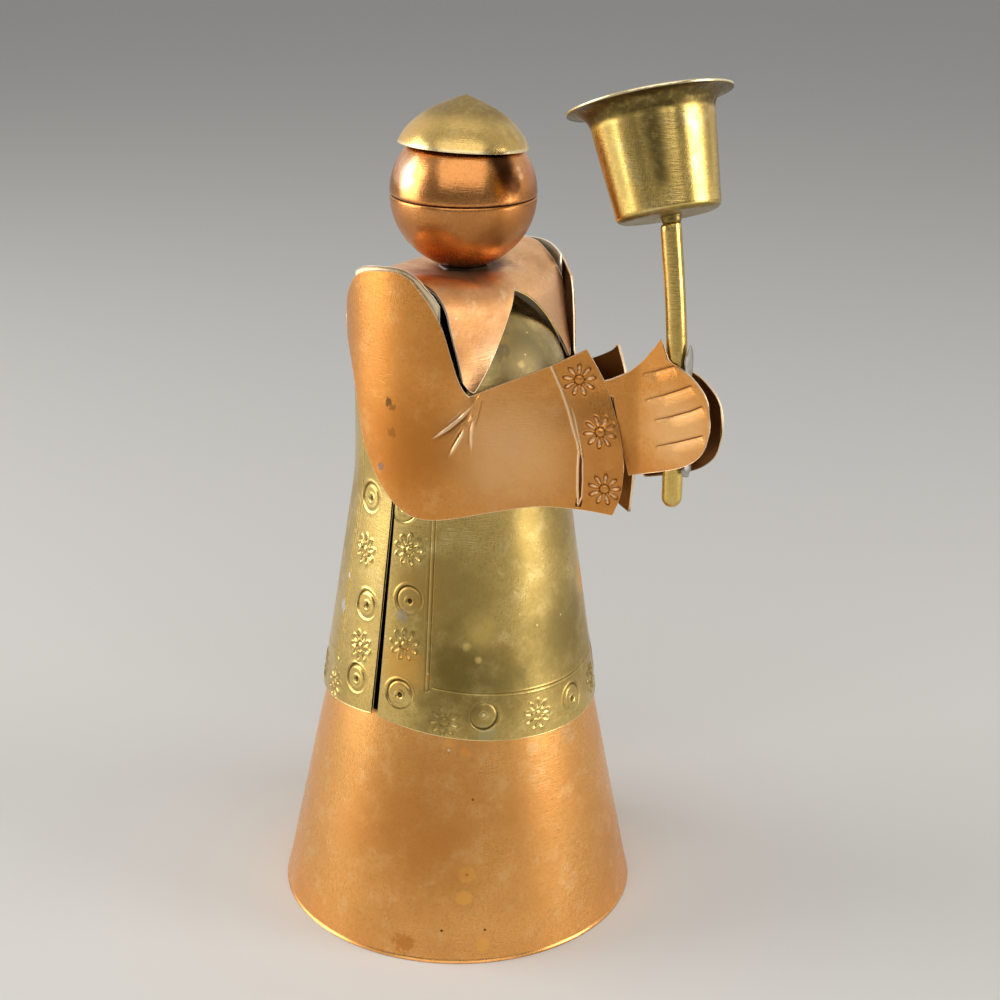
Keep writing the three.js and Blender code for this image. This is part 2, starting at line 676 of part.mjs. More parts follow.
function staff() {
  const length = staffLine.getLength();
  const domeAngles = spread(0, Math.PI / 2, 4);
  const dome = domeAngles.map((a) => [staffRadius * Math.sin(a), staffRadius * (1 - Math.cos(a))]);
  const shaft = spread(staffRadius, length - staffTopChamfer, 7).slice(1).map((z) => [staffRadius, z]);
  const rod = turned([...dome, ...shaft, [staffRadius - staffTopChamfer, length], [0, length]], 16);
  const p = rod.attributes.position;
  for (let i = 0; i < p.count; i++) {
    const t = clamp01(p.getZ(i) / length);
    const middle = staffLine.getPointAt(t);
    const along = staffLine.getTangentAt(t);
    const tangent = new THREE.Vector3(0, -along.x, along.y);
    const across = new THREE.Vector3(p.getX(i), p.getY(i) * along.y, p.getY(i) * along.x);
    const atEnd = p.getZ(i) > length - 2 * staffTopChamfer;
    const cut = atEnd ? -across.dot(cupAxis) / tangent.dot(cupAxis) : 0;
    const point = across.addScaledVector(tangent, cut).add(new THREE.Vector3(0, -middle.x, middle.y));
    p.setXYZ(i, point.x, point.y, point.z);
  }
  return outward(rod);
}

// Stands a geometry made round the cup's own axis on the staff's end, leaning back and to the left
function onStaff(geometry) {
  geometry.applyQuaternion(new THREE.Quaternion().setFromUnitVectors(new THREE.Vector3(0, 0, 1), cupAxis));
  return geometry.translate(0, -cupFootForward, cupFootHeight);
}

// The cup's outer wall: rounded foot, slightly widening wall and a flange that curls out at the mouth
function cupWall(inset) {
  const corner = cupCorner - inset * 0.5;
  const foot = spread(0, Math.PI / 2, 3).map((a) => [
    cupFootRadius - inset - corner + corner * Math.sin(a),
    (inset ? cupFloor : 0) + corner * (1 - Math.cos(a)),
  ]);
  const flareHeight = cupHeight - brassSheet - cupThroatHeight;
  const flareWidth = cupFlangeRadius - cupThroatRadius;
  const flare = spread(0, 1, 5).map((t) => [
    cupThroatRadius - inset * (1 - 0.55 * t) + flareWidth * t ** 2.2,
    cupThroatHeight + flareHeight * Math.sin(t * Math.PI / 2) + inset * t,
  ]);
  return [...foot, ...flare];
}

function candleCup() {
  const outer = cupWall(0);
  const inner = cupWall(brassSheet).reverse();
  const rim = [cupFlangeRadius + 0.15, cupHeight - brassSheet / 2];
  return onStaff(turned([[0, 0], ...outer, rim, ...inner, [0, cupFloor]], 40));
}

// The waisted drop of solder between the cup's underside and the staff's end
function cupSolder() {
  const high = -solderGap;
  const low = high - cupSolderDepth;
  const waist = staffRadius - staffTopChamfer;
  const profile = [[0, low], [waist, low], [waist, mix(low, high, 0.6)], [staffRadius, high], [0, high]];
  return onStaff(turned(profile, 24).translate(0, cupFootForward - staffTopForward, 0));
}

// Solder between the two hands, in front of the staff
function staffSolder(rise, half) {
  const halfWidth = handPlane - copperSheet - solderGap;
  const up = rise / (staffBendHeight - staffFootHeight);
  const middle = mix(staffFootForward, staffBendForward, up);
  const forward = middle + staffRadius + solderGap + half.depth;
  return solderDrop([0, -forward, staffFootHeight + rise], [halfWidth, half.depth, half.height]);
}

// The assembly. Its origin is under the middle of the whole holder, so the figure stands behind it.
const handReach = 62.2;
const figure = new THREE.Group();
figure.position.y = (handReach - skirtBaseRadius) / 2;

const rightOutline = armOutline(-1);
const leftOutline = armOutline(1);

function place(name, geometry, material) {
  const mesh = new THREE.Mesh(geometry, material);
  mesh.name = name;
  figure.add(mesh);
}

place('skirt', skirt(), satinCopper());
place('skirt_seam_solder', skirtSeamSolder(), solder());
place('coat_front', coatPanel(0, coatFrontHem, coatFrontHemRise), agedBrass());
place('coat_back', coatPanel(Math.PI, coatBackHem, coatBackHemRise), agedBrass());
place('front_hem_solder', hemSolder(0), solder());
place('back_hem_solder', hemSolder(Math.PI), solder());
place('right_shoulder_plate', shoulderPlate(rightOutline), agedBrass());
place('left_shoulder_plate', shoulderPlate(leftOutline), agedBrass());
place('collar', collar(), paleCopper());
place('right_shoulder_solder', shoulderSolder(-1), solder());
place('left_shoulder_solder', shoulderSolder(1), solder());
place('neck_stud', neckStud(), brightBrass());
place('neck_solder', neckSolder(), solder());
place('head_lower_bowl', headBowl(-1), polishedCopper());
place('head_upper_bowl', headBowl(1), polishedCopper());
place('head_seam_solder', headSeamSolder(), solder());
place('cap', cap(), agedBrass());
place('cap_solder', capSolder(), solder());
place('right_arm', arm(rightOutline), satinCopper());
place('left_arm', arm(leftOutline), satinCopper());
place('staff', staff(), brightBrass());
place('upper_staff_solder', staffSolder(upperSolderRise, upperSolderHalf), solder());
place('lower_staff_solder', staffSolder(lowerSolderRise, lowerSolderHalf), solder());
place('candle_cup', candleCup(), brightBrass());
place('cup_solder', cupSolder(), solder());

const holder = new THREE.Group();
holder.add(figure);

export default holder;
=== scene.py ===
import math
import bpy
import numpy as np
from mathutils import Matrix, Vector


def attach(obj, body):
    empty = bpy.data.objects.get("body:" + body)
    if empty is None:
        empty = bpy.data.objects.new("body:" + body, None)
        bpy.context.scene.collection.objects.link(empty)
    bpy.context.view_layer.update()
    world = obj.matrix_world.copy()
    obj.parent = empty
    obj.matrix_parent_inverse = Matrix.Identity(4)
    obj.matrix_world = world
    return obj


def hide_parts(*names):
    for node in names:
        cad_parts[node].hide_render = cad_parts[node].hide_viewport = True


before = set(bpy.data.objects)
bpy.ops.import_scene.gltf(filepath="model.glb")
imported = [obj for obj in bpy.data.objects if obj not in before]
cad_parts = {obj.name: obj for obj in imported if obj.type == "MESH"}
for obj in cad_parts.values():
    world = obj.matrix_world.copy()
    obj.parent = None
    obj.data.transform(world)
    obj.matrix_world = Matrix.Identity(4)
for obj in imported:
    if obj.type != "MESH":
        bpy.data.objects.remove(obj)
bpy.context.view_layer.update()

# Shapes are worked out in millimetres round the figure's own upright axis, which stands behind
# the middle of the holder. The figure looks along -Y and its right hand is on the -X side.
body = {"axisBehind": 11.1, "unit": 0.001}
sheet = {"copper": 0.6, "brass": 0.6, "edgePull": 0.07, "edgeWear": 0.22}


# small number helpers

def smooth(t):
    # eases from 0 to 1 with level ends: three t squared minus two t cubed
    t = np.clip(t, 0.0, 1.0)
    return t * t * (3.0 - 2.0 * t)


def mix(a, b, t):
    # a at t = 0, b at t = 1, and a straight line between them
    return a + (b - a) * t


def bell(t, width):
    # 1 in the middle, falling off both ways over about the width
    return np.exp(-(t / width) ** 2)


def smoothLine(points):
    # Catmull-Rom curve through the points, read off as height over distance along
    p = np.array(points, float)
    q = np.vstack([p[:1], p, p[-1:]])
    t = np.linspace(0, 1, 24)[:, None]
    parts = []
    for a, b, c, d in zip(q[:-3], q[1:-2], q[2:-1], q[3:]):
        parts.append(0.5 * (2 * b + (c - a) * t + (2 * a - 5 * b + 4 * c - d) * t ** 2
                            + (3 * b - a - 3 * c + d) * t ** 3))
    line = np.vstack(parts)
    order = np.argsort(line[:, 0], kind="stable")
    line = line[order]
    return lambda x: np.interp(x, line[:, 0], line[:, 1])


def stops(*runs):
    # a row of grid stops: each run is (from, to, step), and runs that meet share their end
    out = []
    for start, end, step in runs:
        count = max(1, int(round(abs(end - start) / step)))
        out.append(np.linspace(start, end, count + 1)[(1 if out else 0):])
    return np.concatenate(out)


def evened(row, fold=4):
    # adds stops in the widest gaps until the number of cells divides by the fold
    row = list(row)
    while (len(row) - 1) % fold:
        gaps = np.diff(row)
        i = int(np.argmax(np.abs(gaps)))
        row.insert(i + 1, 0.5 * (row[i] + row[i + 1]))
    return np.array(row)


def unitVectors(v):
    # each vector divided by its own length
    return v / np.maximum(np.linalg.norm(v, axis=-1, keepdims=True), 1e-9)


def roundAxis(radius, phi, z):
    # points round the upright axis, with phi counted from the front towards the figure's left
    return np.stack([radius * np.sin(phi), -radius * np.cos(phi), z], -1)


def gridNormals(points):
    # cross product of the two grid directions, by central differences
    du = np.gradient(points, axis=1)
    dv = np.gradient(points, axis=0)
    return unitVectors(np.cross(du, dv))


def waviness(a, b, size, height, seed, waves=7):
    # a sum of slow sine waves in random directions: the unevenness of hand-worked metal
    r = np.random.default_rng(seed)
    total = np.zeros(np.broadcast(a, b).shape)
    for _ in range(waves):
        angle, phase = r.uniform(0, 2 * np.pi, 2)
        length = size * r.uniform(0.6, 1.7)
        total += np.sin((a * np.cos(angle) + b * np.sin(angle)) * 2 * np.pi / length + phase)
    return height * total / waves


def segmentDistance(x, y, line):
    # signed distance to a polyline: positive above it, with the share of the way along it
    best = np.full(x.shape, 1e9)
    side = np.ones(x.shape)
    along = np.zeros(x.shape)
    lengths = [math.dist(a, b) for a, b in zip(line[:-1], line[1:])]
    walked = 0.0
    for (ax, ay), (bx, by), length in zip(line[:-1], line[1:], lengths):
        ux, uy = (bx - ax) / length, (by - ay) / length
        t = np.clip((x - ax) * ux + (y - ay) * uy, 0, length)
        dx, dy = x - ax - t * ux, y - ay - t * uy
        d = np.hypot(dx, dy)
        near = d < best
        best = np.where(near, d, best)
        side = np.where(near, np.sign(ux * dy - uy * dx), side)
        along = np.where(near, (walked + t) / sum(lengths), along)
        walked += length
    return best * np.where(side == 0, 1, side), along


# mesh helpers

def meshObject(name, points, faces, material, layers=None):
    # points in millimetres round the figure's axis become one object in metres in the part's frame
    place = np.asarray(points, float).reshape(-1, 3) + np.array([0, body["axisBehind"], 0])
    place = place * body["unit"]
    tris = []
    for block in faces:
        block = np.asarray(block)
        for k in range(1, block.shape[1] - 1):
            tris.append(block[:, [0, k, k + 1]])
    t = np.vstack(tris)
    volume = np.einsum("ij,ij->i", place[t[:, 0]], np.cross(place[t[:, 1]], place[t[:, 2]])).sum()
    if volume < 0:
        faces = [np.asarray(block)[:, ::-1] for block in faces]
    mesh = bpy.data.meshes.new(name)
    mesh.from_pydata(place.tolist(), [], [face for block in faces for face in np.asarray(block).tolist()])
    for layerName, values in (layers or {}).items():
        layer = mesh.attributes.new(layerName, "FLOAT", "POINT")
        layer.data.foreach_set("value", np.asarray(values, np.float32).ravel())
    mesh.validate()
    mesh.polygons.foreach_set("use_smooth", np.ones(len(mesh.polygons), bool))
    mesh.update()
    piece = bpy.data.objects.new(name, mesh)
    bpy.context.scene.collection.objects.link(piece)
    mesh.materials.append(material)
    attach(piece, "root")
    return piece


def quads(index, closeU=False, closeV=False):
    # the four-cornered faces between neighbouring rows and columns of an index grid
    if closeU:
        index = np.concatenate([index, index[:, :1]], axis=1)
    if closeV:
        index = np.concatenate([index, index[:1]], axis=0)
    return np.stack([index[:-1, :-1], index[:-1, 1:], index[1:, 1:], index[1:, :-1]], -1).reshape(-1, 4)


def borderLoop(index):
    # the numbers of the grid's border points, once round
    return np.concatenate([index[0, :-1], index[:-1, -1], index[-1, :0:-1], index[:0:-1, 0]])


def sheetShell(base, height, thickness, fold=4, inward=None, tone=None):
    # A sheet with a worked outer face: the base grid is moved along its normal by the height, and the
    # plain inner face is the base moved inwards by the thickness, on every fourth row and column.
    # The rim is rounded: its middle line lies on the true edge and both faces stop a little short.
    normal = gridNormals(base)
    if inward is not None:
        normal = inward(normal)
    outer = base + normal * height[..., None]
    pull = sheet["edgePull"]

    def pulled(grid):
        grid = grid.copy()
        for a, b in (((0, slice(None)), (1, slice(None))), ((-1, slice(None)), (-2, slice(None))),
                     ((slice(None), 0), (slice(None), 1)), ((slice(None), -1), (slice(None), -2))):
            step = grid[b] - grid[a]
            size = np.linalg.norm(step, axis=-1, keepdims=True)
            grid[a] = grid[a] + step * np.minimum(pull / np.maximum(size, 1e-6), 0.45)
        return grid

    rows, cols = base.shape[:2]
    face = pulled(outer)
    back = pulled(base - normal * thickness)[::fold, ::fold]
    middle = base - normal * thickness * 0.5
    outerIndex = np.arange(rows * cols).reshape(rows, cols)
    start = rows * cols
    rim = borderLoop(outerIndex)
    midPoints = middle.reshape(-1, 3)[rim]
    midIndex = start + np.arange(len(rim))
    start += len(rim)
    backIndex = start + np.arange(back.shape[0] * back.shape[1]).reshape(back.shape[:2])
    backRim = borderLoop(backIndex)
    rimNext = np.roll(rim, -1)
    midNext = np.roll(midIndex, -1)
    strip = np.stack([rim, midIndex, midNext, rimNext], -1)
    group = np.concatenate([midIndex, midIndex[:1]])
    comb = np.stack([group[k::fold][:len(backRim)] for k in range(fold)]
                    + [np.roll(midIndex, -fold)[::fold]], -1)
    comb = np.concatenate([comb, np.roll(backRim, -1)[:, None], backRim[:, None]], axis=1)
    points = np.vstack([face.reshape(-1, 3), midPoints, back.reshape(-1, 3)])
    faces = [quads(outerIndex), strip[:, ::-1], quads(backIndex)[:, ::-1], comb]
    # distance to the nearest rim, for the bright cut edge and the wear beside it
    stepU = np.linalg.norm(np.diff(base, axis=1), axis=-1)
    stepV = np.linalg.norm(np.diff(base, axis=0), axis=-1)
    left = np.concatenate([np.zeros((rows, 1)), np.cumsum(stepU, axis=1)], axis=1)
    low = np.concatenate([np.zeros((1, cols)), np.cumsum(stepV, axis=0)], axis=0)
    rimDistance = np.minimum(np.minimum(left, left[:, -1:] - left), np.minimum(low, low[-1:] - low))
    backDistance = rimDistance[::fold, ::fold]
    edge = np.concatenate([np.exp(-rimDistance / sheet["edgeWear"]).ravel(), np.ones(len(rim)),
                           np.exp(-backDistance / sheet["edgeWear"]).ravel()])
    plain = np.zeros(len(rim) + back.shape[0] * back.shape[1])
    depth = np.concatenate([(height * 0 if tone is None else tone).ravel(), plain])
    inside = np.concatenate([np.zeros(rows * cols + len(rim)), np.ones(back.shape[0] * back.shape[1])])
    return points, faces, {"edge": edge, "depth": depth, "inside": inside}


def joined(*shells):
    # several shells as one, each one's face numbers moved on past the points before it
    points, faces, layers = [], [], {}
    start = 0
    for p, f, l in shells:
        points.append(p)
        faces += [np.asarray(block) + start for block in f]
        start += len(p)
        for key, values in l.items():
            layers.setdefault(key, []).append(values)
    return np.vstack(points), faces, {key: np.concatenate(v) for key, v in layers.items()}


def mirroredShell(shell):
    # the same shell with its sides changed over, and its faces turned so that they still point outwards
    points, faces, layers = shell
    return points * np.array([-1, 1, 1]), [np.asarray(block)[:, ::-1] for block in faces], layers


def fan(pole, ring):
    # the triangles between a pole point and the ring of points round it
    return np.stack([np.full(len(ring), pole), ring, np.roll(ring, -1)], -1)


def closedTube(rings, low, high):
    # rings of points, each closed round and joined to the next, with a pole point beyond each end
    index = np.arange(rings.shape[0] * rings.shape[1]).reshape(rings.shape[:2])
    faces = [quads(index, closeU=True), fan(index.size, index[0])[:, ::-1], fan(index.size + 1, index[-1])]
    return np.vstack([rings.reshape(-1, 3), [low, high]]), faces


def turnedSurface(profile, sides, wobble=None):
    # A profile of (radius, height) pairs carried round the upright axis. One that starts and ends on the
    # axis is closed there by pole points, and any other is a closed loop that makes a ring.
    profile = np.asarray(profile, float)
    angles = np.linspace(0, 2 * np.pi, sides, endpoint=False)
    hasPoles = profile[0, 0] < 1e-9
    rings = profile[1:-1] if hasPoles else profile[:-1]
    r, z = (rings[:, k][:, None] + np.zeros(sides) for k in (0, 1))
    if wobble is not None:
        r, z = wobble(r, z, angles[None])
    grid = roundAxis(r, angles, z)
    if hasPoles:
        return closedTube(grid, [0, 0, profile[0, 1]], [0, 0, profile[-1, 1]])
    index = np.arange(grid.shape[0] * sides).reshape(-1, sides)
    return grid.reshape(-1, 3), [quads(index, closeU=True, closeV=True)]


bead = {"rows": 26, "columns": 40, "lumps": 0.13, "lumpSize": 1.3, "fullness": 0.93, "pole": 0.9}


def solderDrop(name, replaced, center, halves, seed):
    # an ellipsoid whose radius swells and sinks by slow waves round it
    lumps = bead["lumps"]
    lat = np.linspace(-np.pi / 2, np.pi / 2, bead["rows"])[1:-1]
    lon = np.linspace(0, 2 * np.pi, bead["columns"], endpoint=False)
    la, lo = np.meshgrid(lat, lon, indexing="ij")
    direction = np.stack([np.cos(la) * np.cos(lo), np.cos(la) * np.sin(lo), np.sin(la)], -1)
    lump = waviness(direction[..., 0] + direction[..., 2], direction[..., 1] - direction[..., 2],
                    bead["lumpSize"], lumps * 2.2, seed)
    scale = bead["fullness"] - lumps + np.clip(lump, -lumps, lumps)
    pole = np.array([0, 0, bead["pole"] * halves[2]])
    points, faces = closedTube(direction * scale[..., None] * np.array(halves), -pole, pole)
    piece = meshObject(name, points + np.array(center), faces, materials["greySolder"])
    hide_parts(replaced)


# camera

camera = {"place": (-304.12, -218.07, 237.51), "heading": 54.284, "down": 20.861, "roll": 0.922,
          "lens": 67.02, "sensor": 36.0}


def placeCamera():
    # a level look along the heading, tipped down and rolled a little about the view line
    heading, down, roll = (math.radians(camera[k]) for k in ("heading", "down", "roll"))
    look = Vector((math.sin(heading) * math.cos(down), math.cos(heading) * math.cos(down), -math.sin(down)))
    right = Vector((math.cos(heading), -math.sin(heading), 0))
    up = right.cross(look)
    right, up = right * math.cos(roll) + up * math.sin(roll), up * math.cos(roll) - right * math.sin(roll)
    data = bpy.data.cameras.new("photoCamera")
    data.sensor_width = camera["sensor"]
    data.lens = camera["lens"]
    data.clip_start = 0.01
    holder = bpy.data.objects.new("photoCamera", data)
    bpy.context.scene.collection.objects.link(holder)
    frameAxes = Matrix((right, up, -look)).transposed().to_4x4()
    holder.matrix_world = Matrix.Translation(Vector(camera["place"]) * body["unit"]) @ frameAxes
    bpy.context.scene.camera = holder


placeCamera()
print("camera placed")


# materials

def onWall(phi, radius, z):
    # a place on an upright wall round the figure's axis, in the part's own frame
    a = math.radians(phi)
    return (radius * math.sin(a), body["axisBehind"] - radius * math.cos(a), z)


# colours of the metal itself and of its marks, some of them painted light and shade, then roughness and how
# much there is of each mark
metals = {
    "satinCopper": {
        "base": (0.755, 0.325, 0.078), "dark": (0.54, 0.20, 0.036), "pale": (0.84, 0.44, 0.15),
        "inside": (0.11, 0.038, 0.014), "edge": (0.97, 0.70, 0.44), "groove": (0.10, 0.032, 0.008),
        "ridge": (1.0, 0.80, 0.52), "grimeAndShade": (0.10, 0.04, 0.015), "spotTint": (0.88, 0.40, 0.10),
        "speckTint": (0.95, 0.60, 0.30), "rough": 0.29, "roughSpread": 0.08, "patina": 0.42, "spots": 0.35,
        "specks": 0.4, "scratch": 0.45},
    "skirtCopper": {
        "base": (0.90, 0.445, 0.135), "dark": (0.60, 0.245, 0.052), "pale": (0.96, 0.60, 0.27),
        "inside": (0.20, 0.08, 0.03), "edge": (0.62, 0.29, 0.09), "groove": (0.24, 0.08, 0.018),
        "ridge": (0.9, 0.55, 0.25), "grimeAndShade": (0.10, 0.04, 0.015), "spotTint": (0.90, 0.40, 0.11),
        "speckTint": (0.95, 0.58, 0.30), "rough": 0.28, "roughSpread": 0.07, "patina": 0.30, "spots": 0.3,
        "specks": 0.55, "scratch": 0.35},
    "collarCopper": {
        "base": (0.84, 0.47, 0.215), "dark": (0.55, 0.26, 0.095), "pale": (0.95, 0.68, 0.42),
        "inside": (0.10, 0.05, 0.02), "edge": (1.0, 0.86, 0.70), "groove": (0.25, 0.12, 0.05),
        "ridge": (0.95, 0.75, 0.5), "grimeAndShade": (0.085, 0.055, 0.036), "spotTint": (0.92, 0.55, 0.20),
        "speckTint": (0.96, 0.80, 0.62), "rough": 0.38, "roughSpread": 0.12, "dull": 0.12, "patina": 0.8,
        "spots": 0.4, "specks": 0.35, "scratch": 0.4},
    # head copper: its grime colour is the painted shade on the lower half of the head
    "headCopper": {
        "base": (0.68, 0.29, 0.088), "dark": (0.45, 0.16, 0.04), "pale": (0.78, 0.43, 0.19),
        "inside": (0.06, 0.02, 0.01), "edge": (0.12, 0.05, 0.02), "groove": (0.06, 0.02, 0.01),
        "ridge": (0.9, 0.5, 0.25), "grimeAndShade": (0.40, 0.155, 0.04), "spotTint": (0.60, 0.27, 0.10),
        "speckTint": (0.92, 0.60, 0.36), "rough": 0.23, "roughSpread": 0.08, "patina": 0.5, "spots": 0.3,
        "specks": 0.4, "scratch": 0.35},
    # coat brass: its grime colour is the near-black painted shadow under the lapels
    "coatBrass": {
        "base": (0.69, 0.49, 0.16), "dark": (0.30, 0.20, 0.05), "pale": (0.82, 0.65, 0.28),
        "inside": (0.09, 0.06, 0.02), "edge": (0.88, 0.70, 0.34), "groove": (0.09, 0.055, 0.012),
        "ridge": (0.93, 0.76, 0.36), "grimeAndShade": (0.012, 0.008, 0.004), "spotTint": (0.84, 0.66, 0.25),
        "speckTint": (0.90, 0.72, 0.34), "rough": 0.24, "roughSpread": 0.10, "dull": 0.22, "patina": 0.55,
        "spots": 0.5, "specks": 0.6, "scratch": 0.22},
    "capBrass": {
        "base": (0.74, 0.50, 0.165), "dark": (0.40, 0.255, 0.075), "pale": (0.86, 0.66, 0.31),
        "inside": (0.08, 0.05, 0.02), "edge": (0.95, 0.78, 0.46), "groove": (0.14, 0.09, 0.03),
        "ridge": (0.95, 0.82, 0.5), "grimeAndShade": (0.30, 0.205, 0.07), "spotTint": (0.45, 0.31, 0.13),
        "speckTint": (0.95, 0.84, 0.56), "rough": 0.28, "roughSpread": 0.12, "patina": 0.6, "spots": 0.4,
        "specks": 0.6, "scratch": 0.35},
    "plateBrass": {
        "base": (0.95, 0.86, 0.62), "dark": (0.74, 0.64, 0.42), "pale": (0.98, 0.93, 0.78),
        "inside": (0.50, 0.42, 0.28), "edge": (1.0, 0.92, 0.76), "groove": (0.14, 0.09, 0.03),
        "ridge": (0.95, 0.9, 0.8), "grimeAndShade": (0.2, 0.15, 0.08), "spotTint": (0.45, 0.36, 0.24),
        "speckTint": (0.95, 0.9, 0.8), "rough": 0.55, "roughSpread": 0.12, "patina": 0.5, "spots": 0.3,
        "specks": 0.3, "scratch": 0.4},
    "brightBrass": {
        "base": (0.78, 0.55, 0.165), "dark": (0.42, 0.26, 0.06), "pale": (0.90, 0.74, 0.36),
        "inside": (0.60, 0.42, 0.15), "edge": (1.0, 0.88, 0.58), "groove": (0.2, 0.13, 0.04),
        "ridge": (0.95, 0.85, 0.5), "grimeAndShade": (0.085, 0.06, 0.02), "spotTint": (0.80, 0.48, 0.16),
        "speckTint": (0.95, 0.8, 0.5), "rough": 0.22, "roughSpread": 0.10, "patina": 0.6, "spots": 0.4,
        "specks": 0.4, "scratch": 0.4},
    "greySolder": {
        "base": (0.40, 0.38, 0.35), "dark": (0.20, 0.19, 0.17), "pale": (0.58, 0.56, 0.52),
        "inside": (0.3, 0.3, 0.28), "edge": (0.7, 0.7, 0.66), "groove": (0.2, 0.2, 0.19),
        "ridge": (0.6, 0.6, 0.56), "grimeAndShade": (0.06, 0.045, 0.03), "spotTint": (0.36, 0.30, 0.23),
        "speckTint": (0.8, 0.8, 0.78), "rough": 0.48, "roughSpread": 0.15, "patina": 0.7, "spots": 0.4,
        "specks": 0.3, "scratch": 0.2},
}
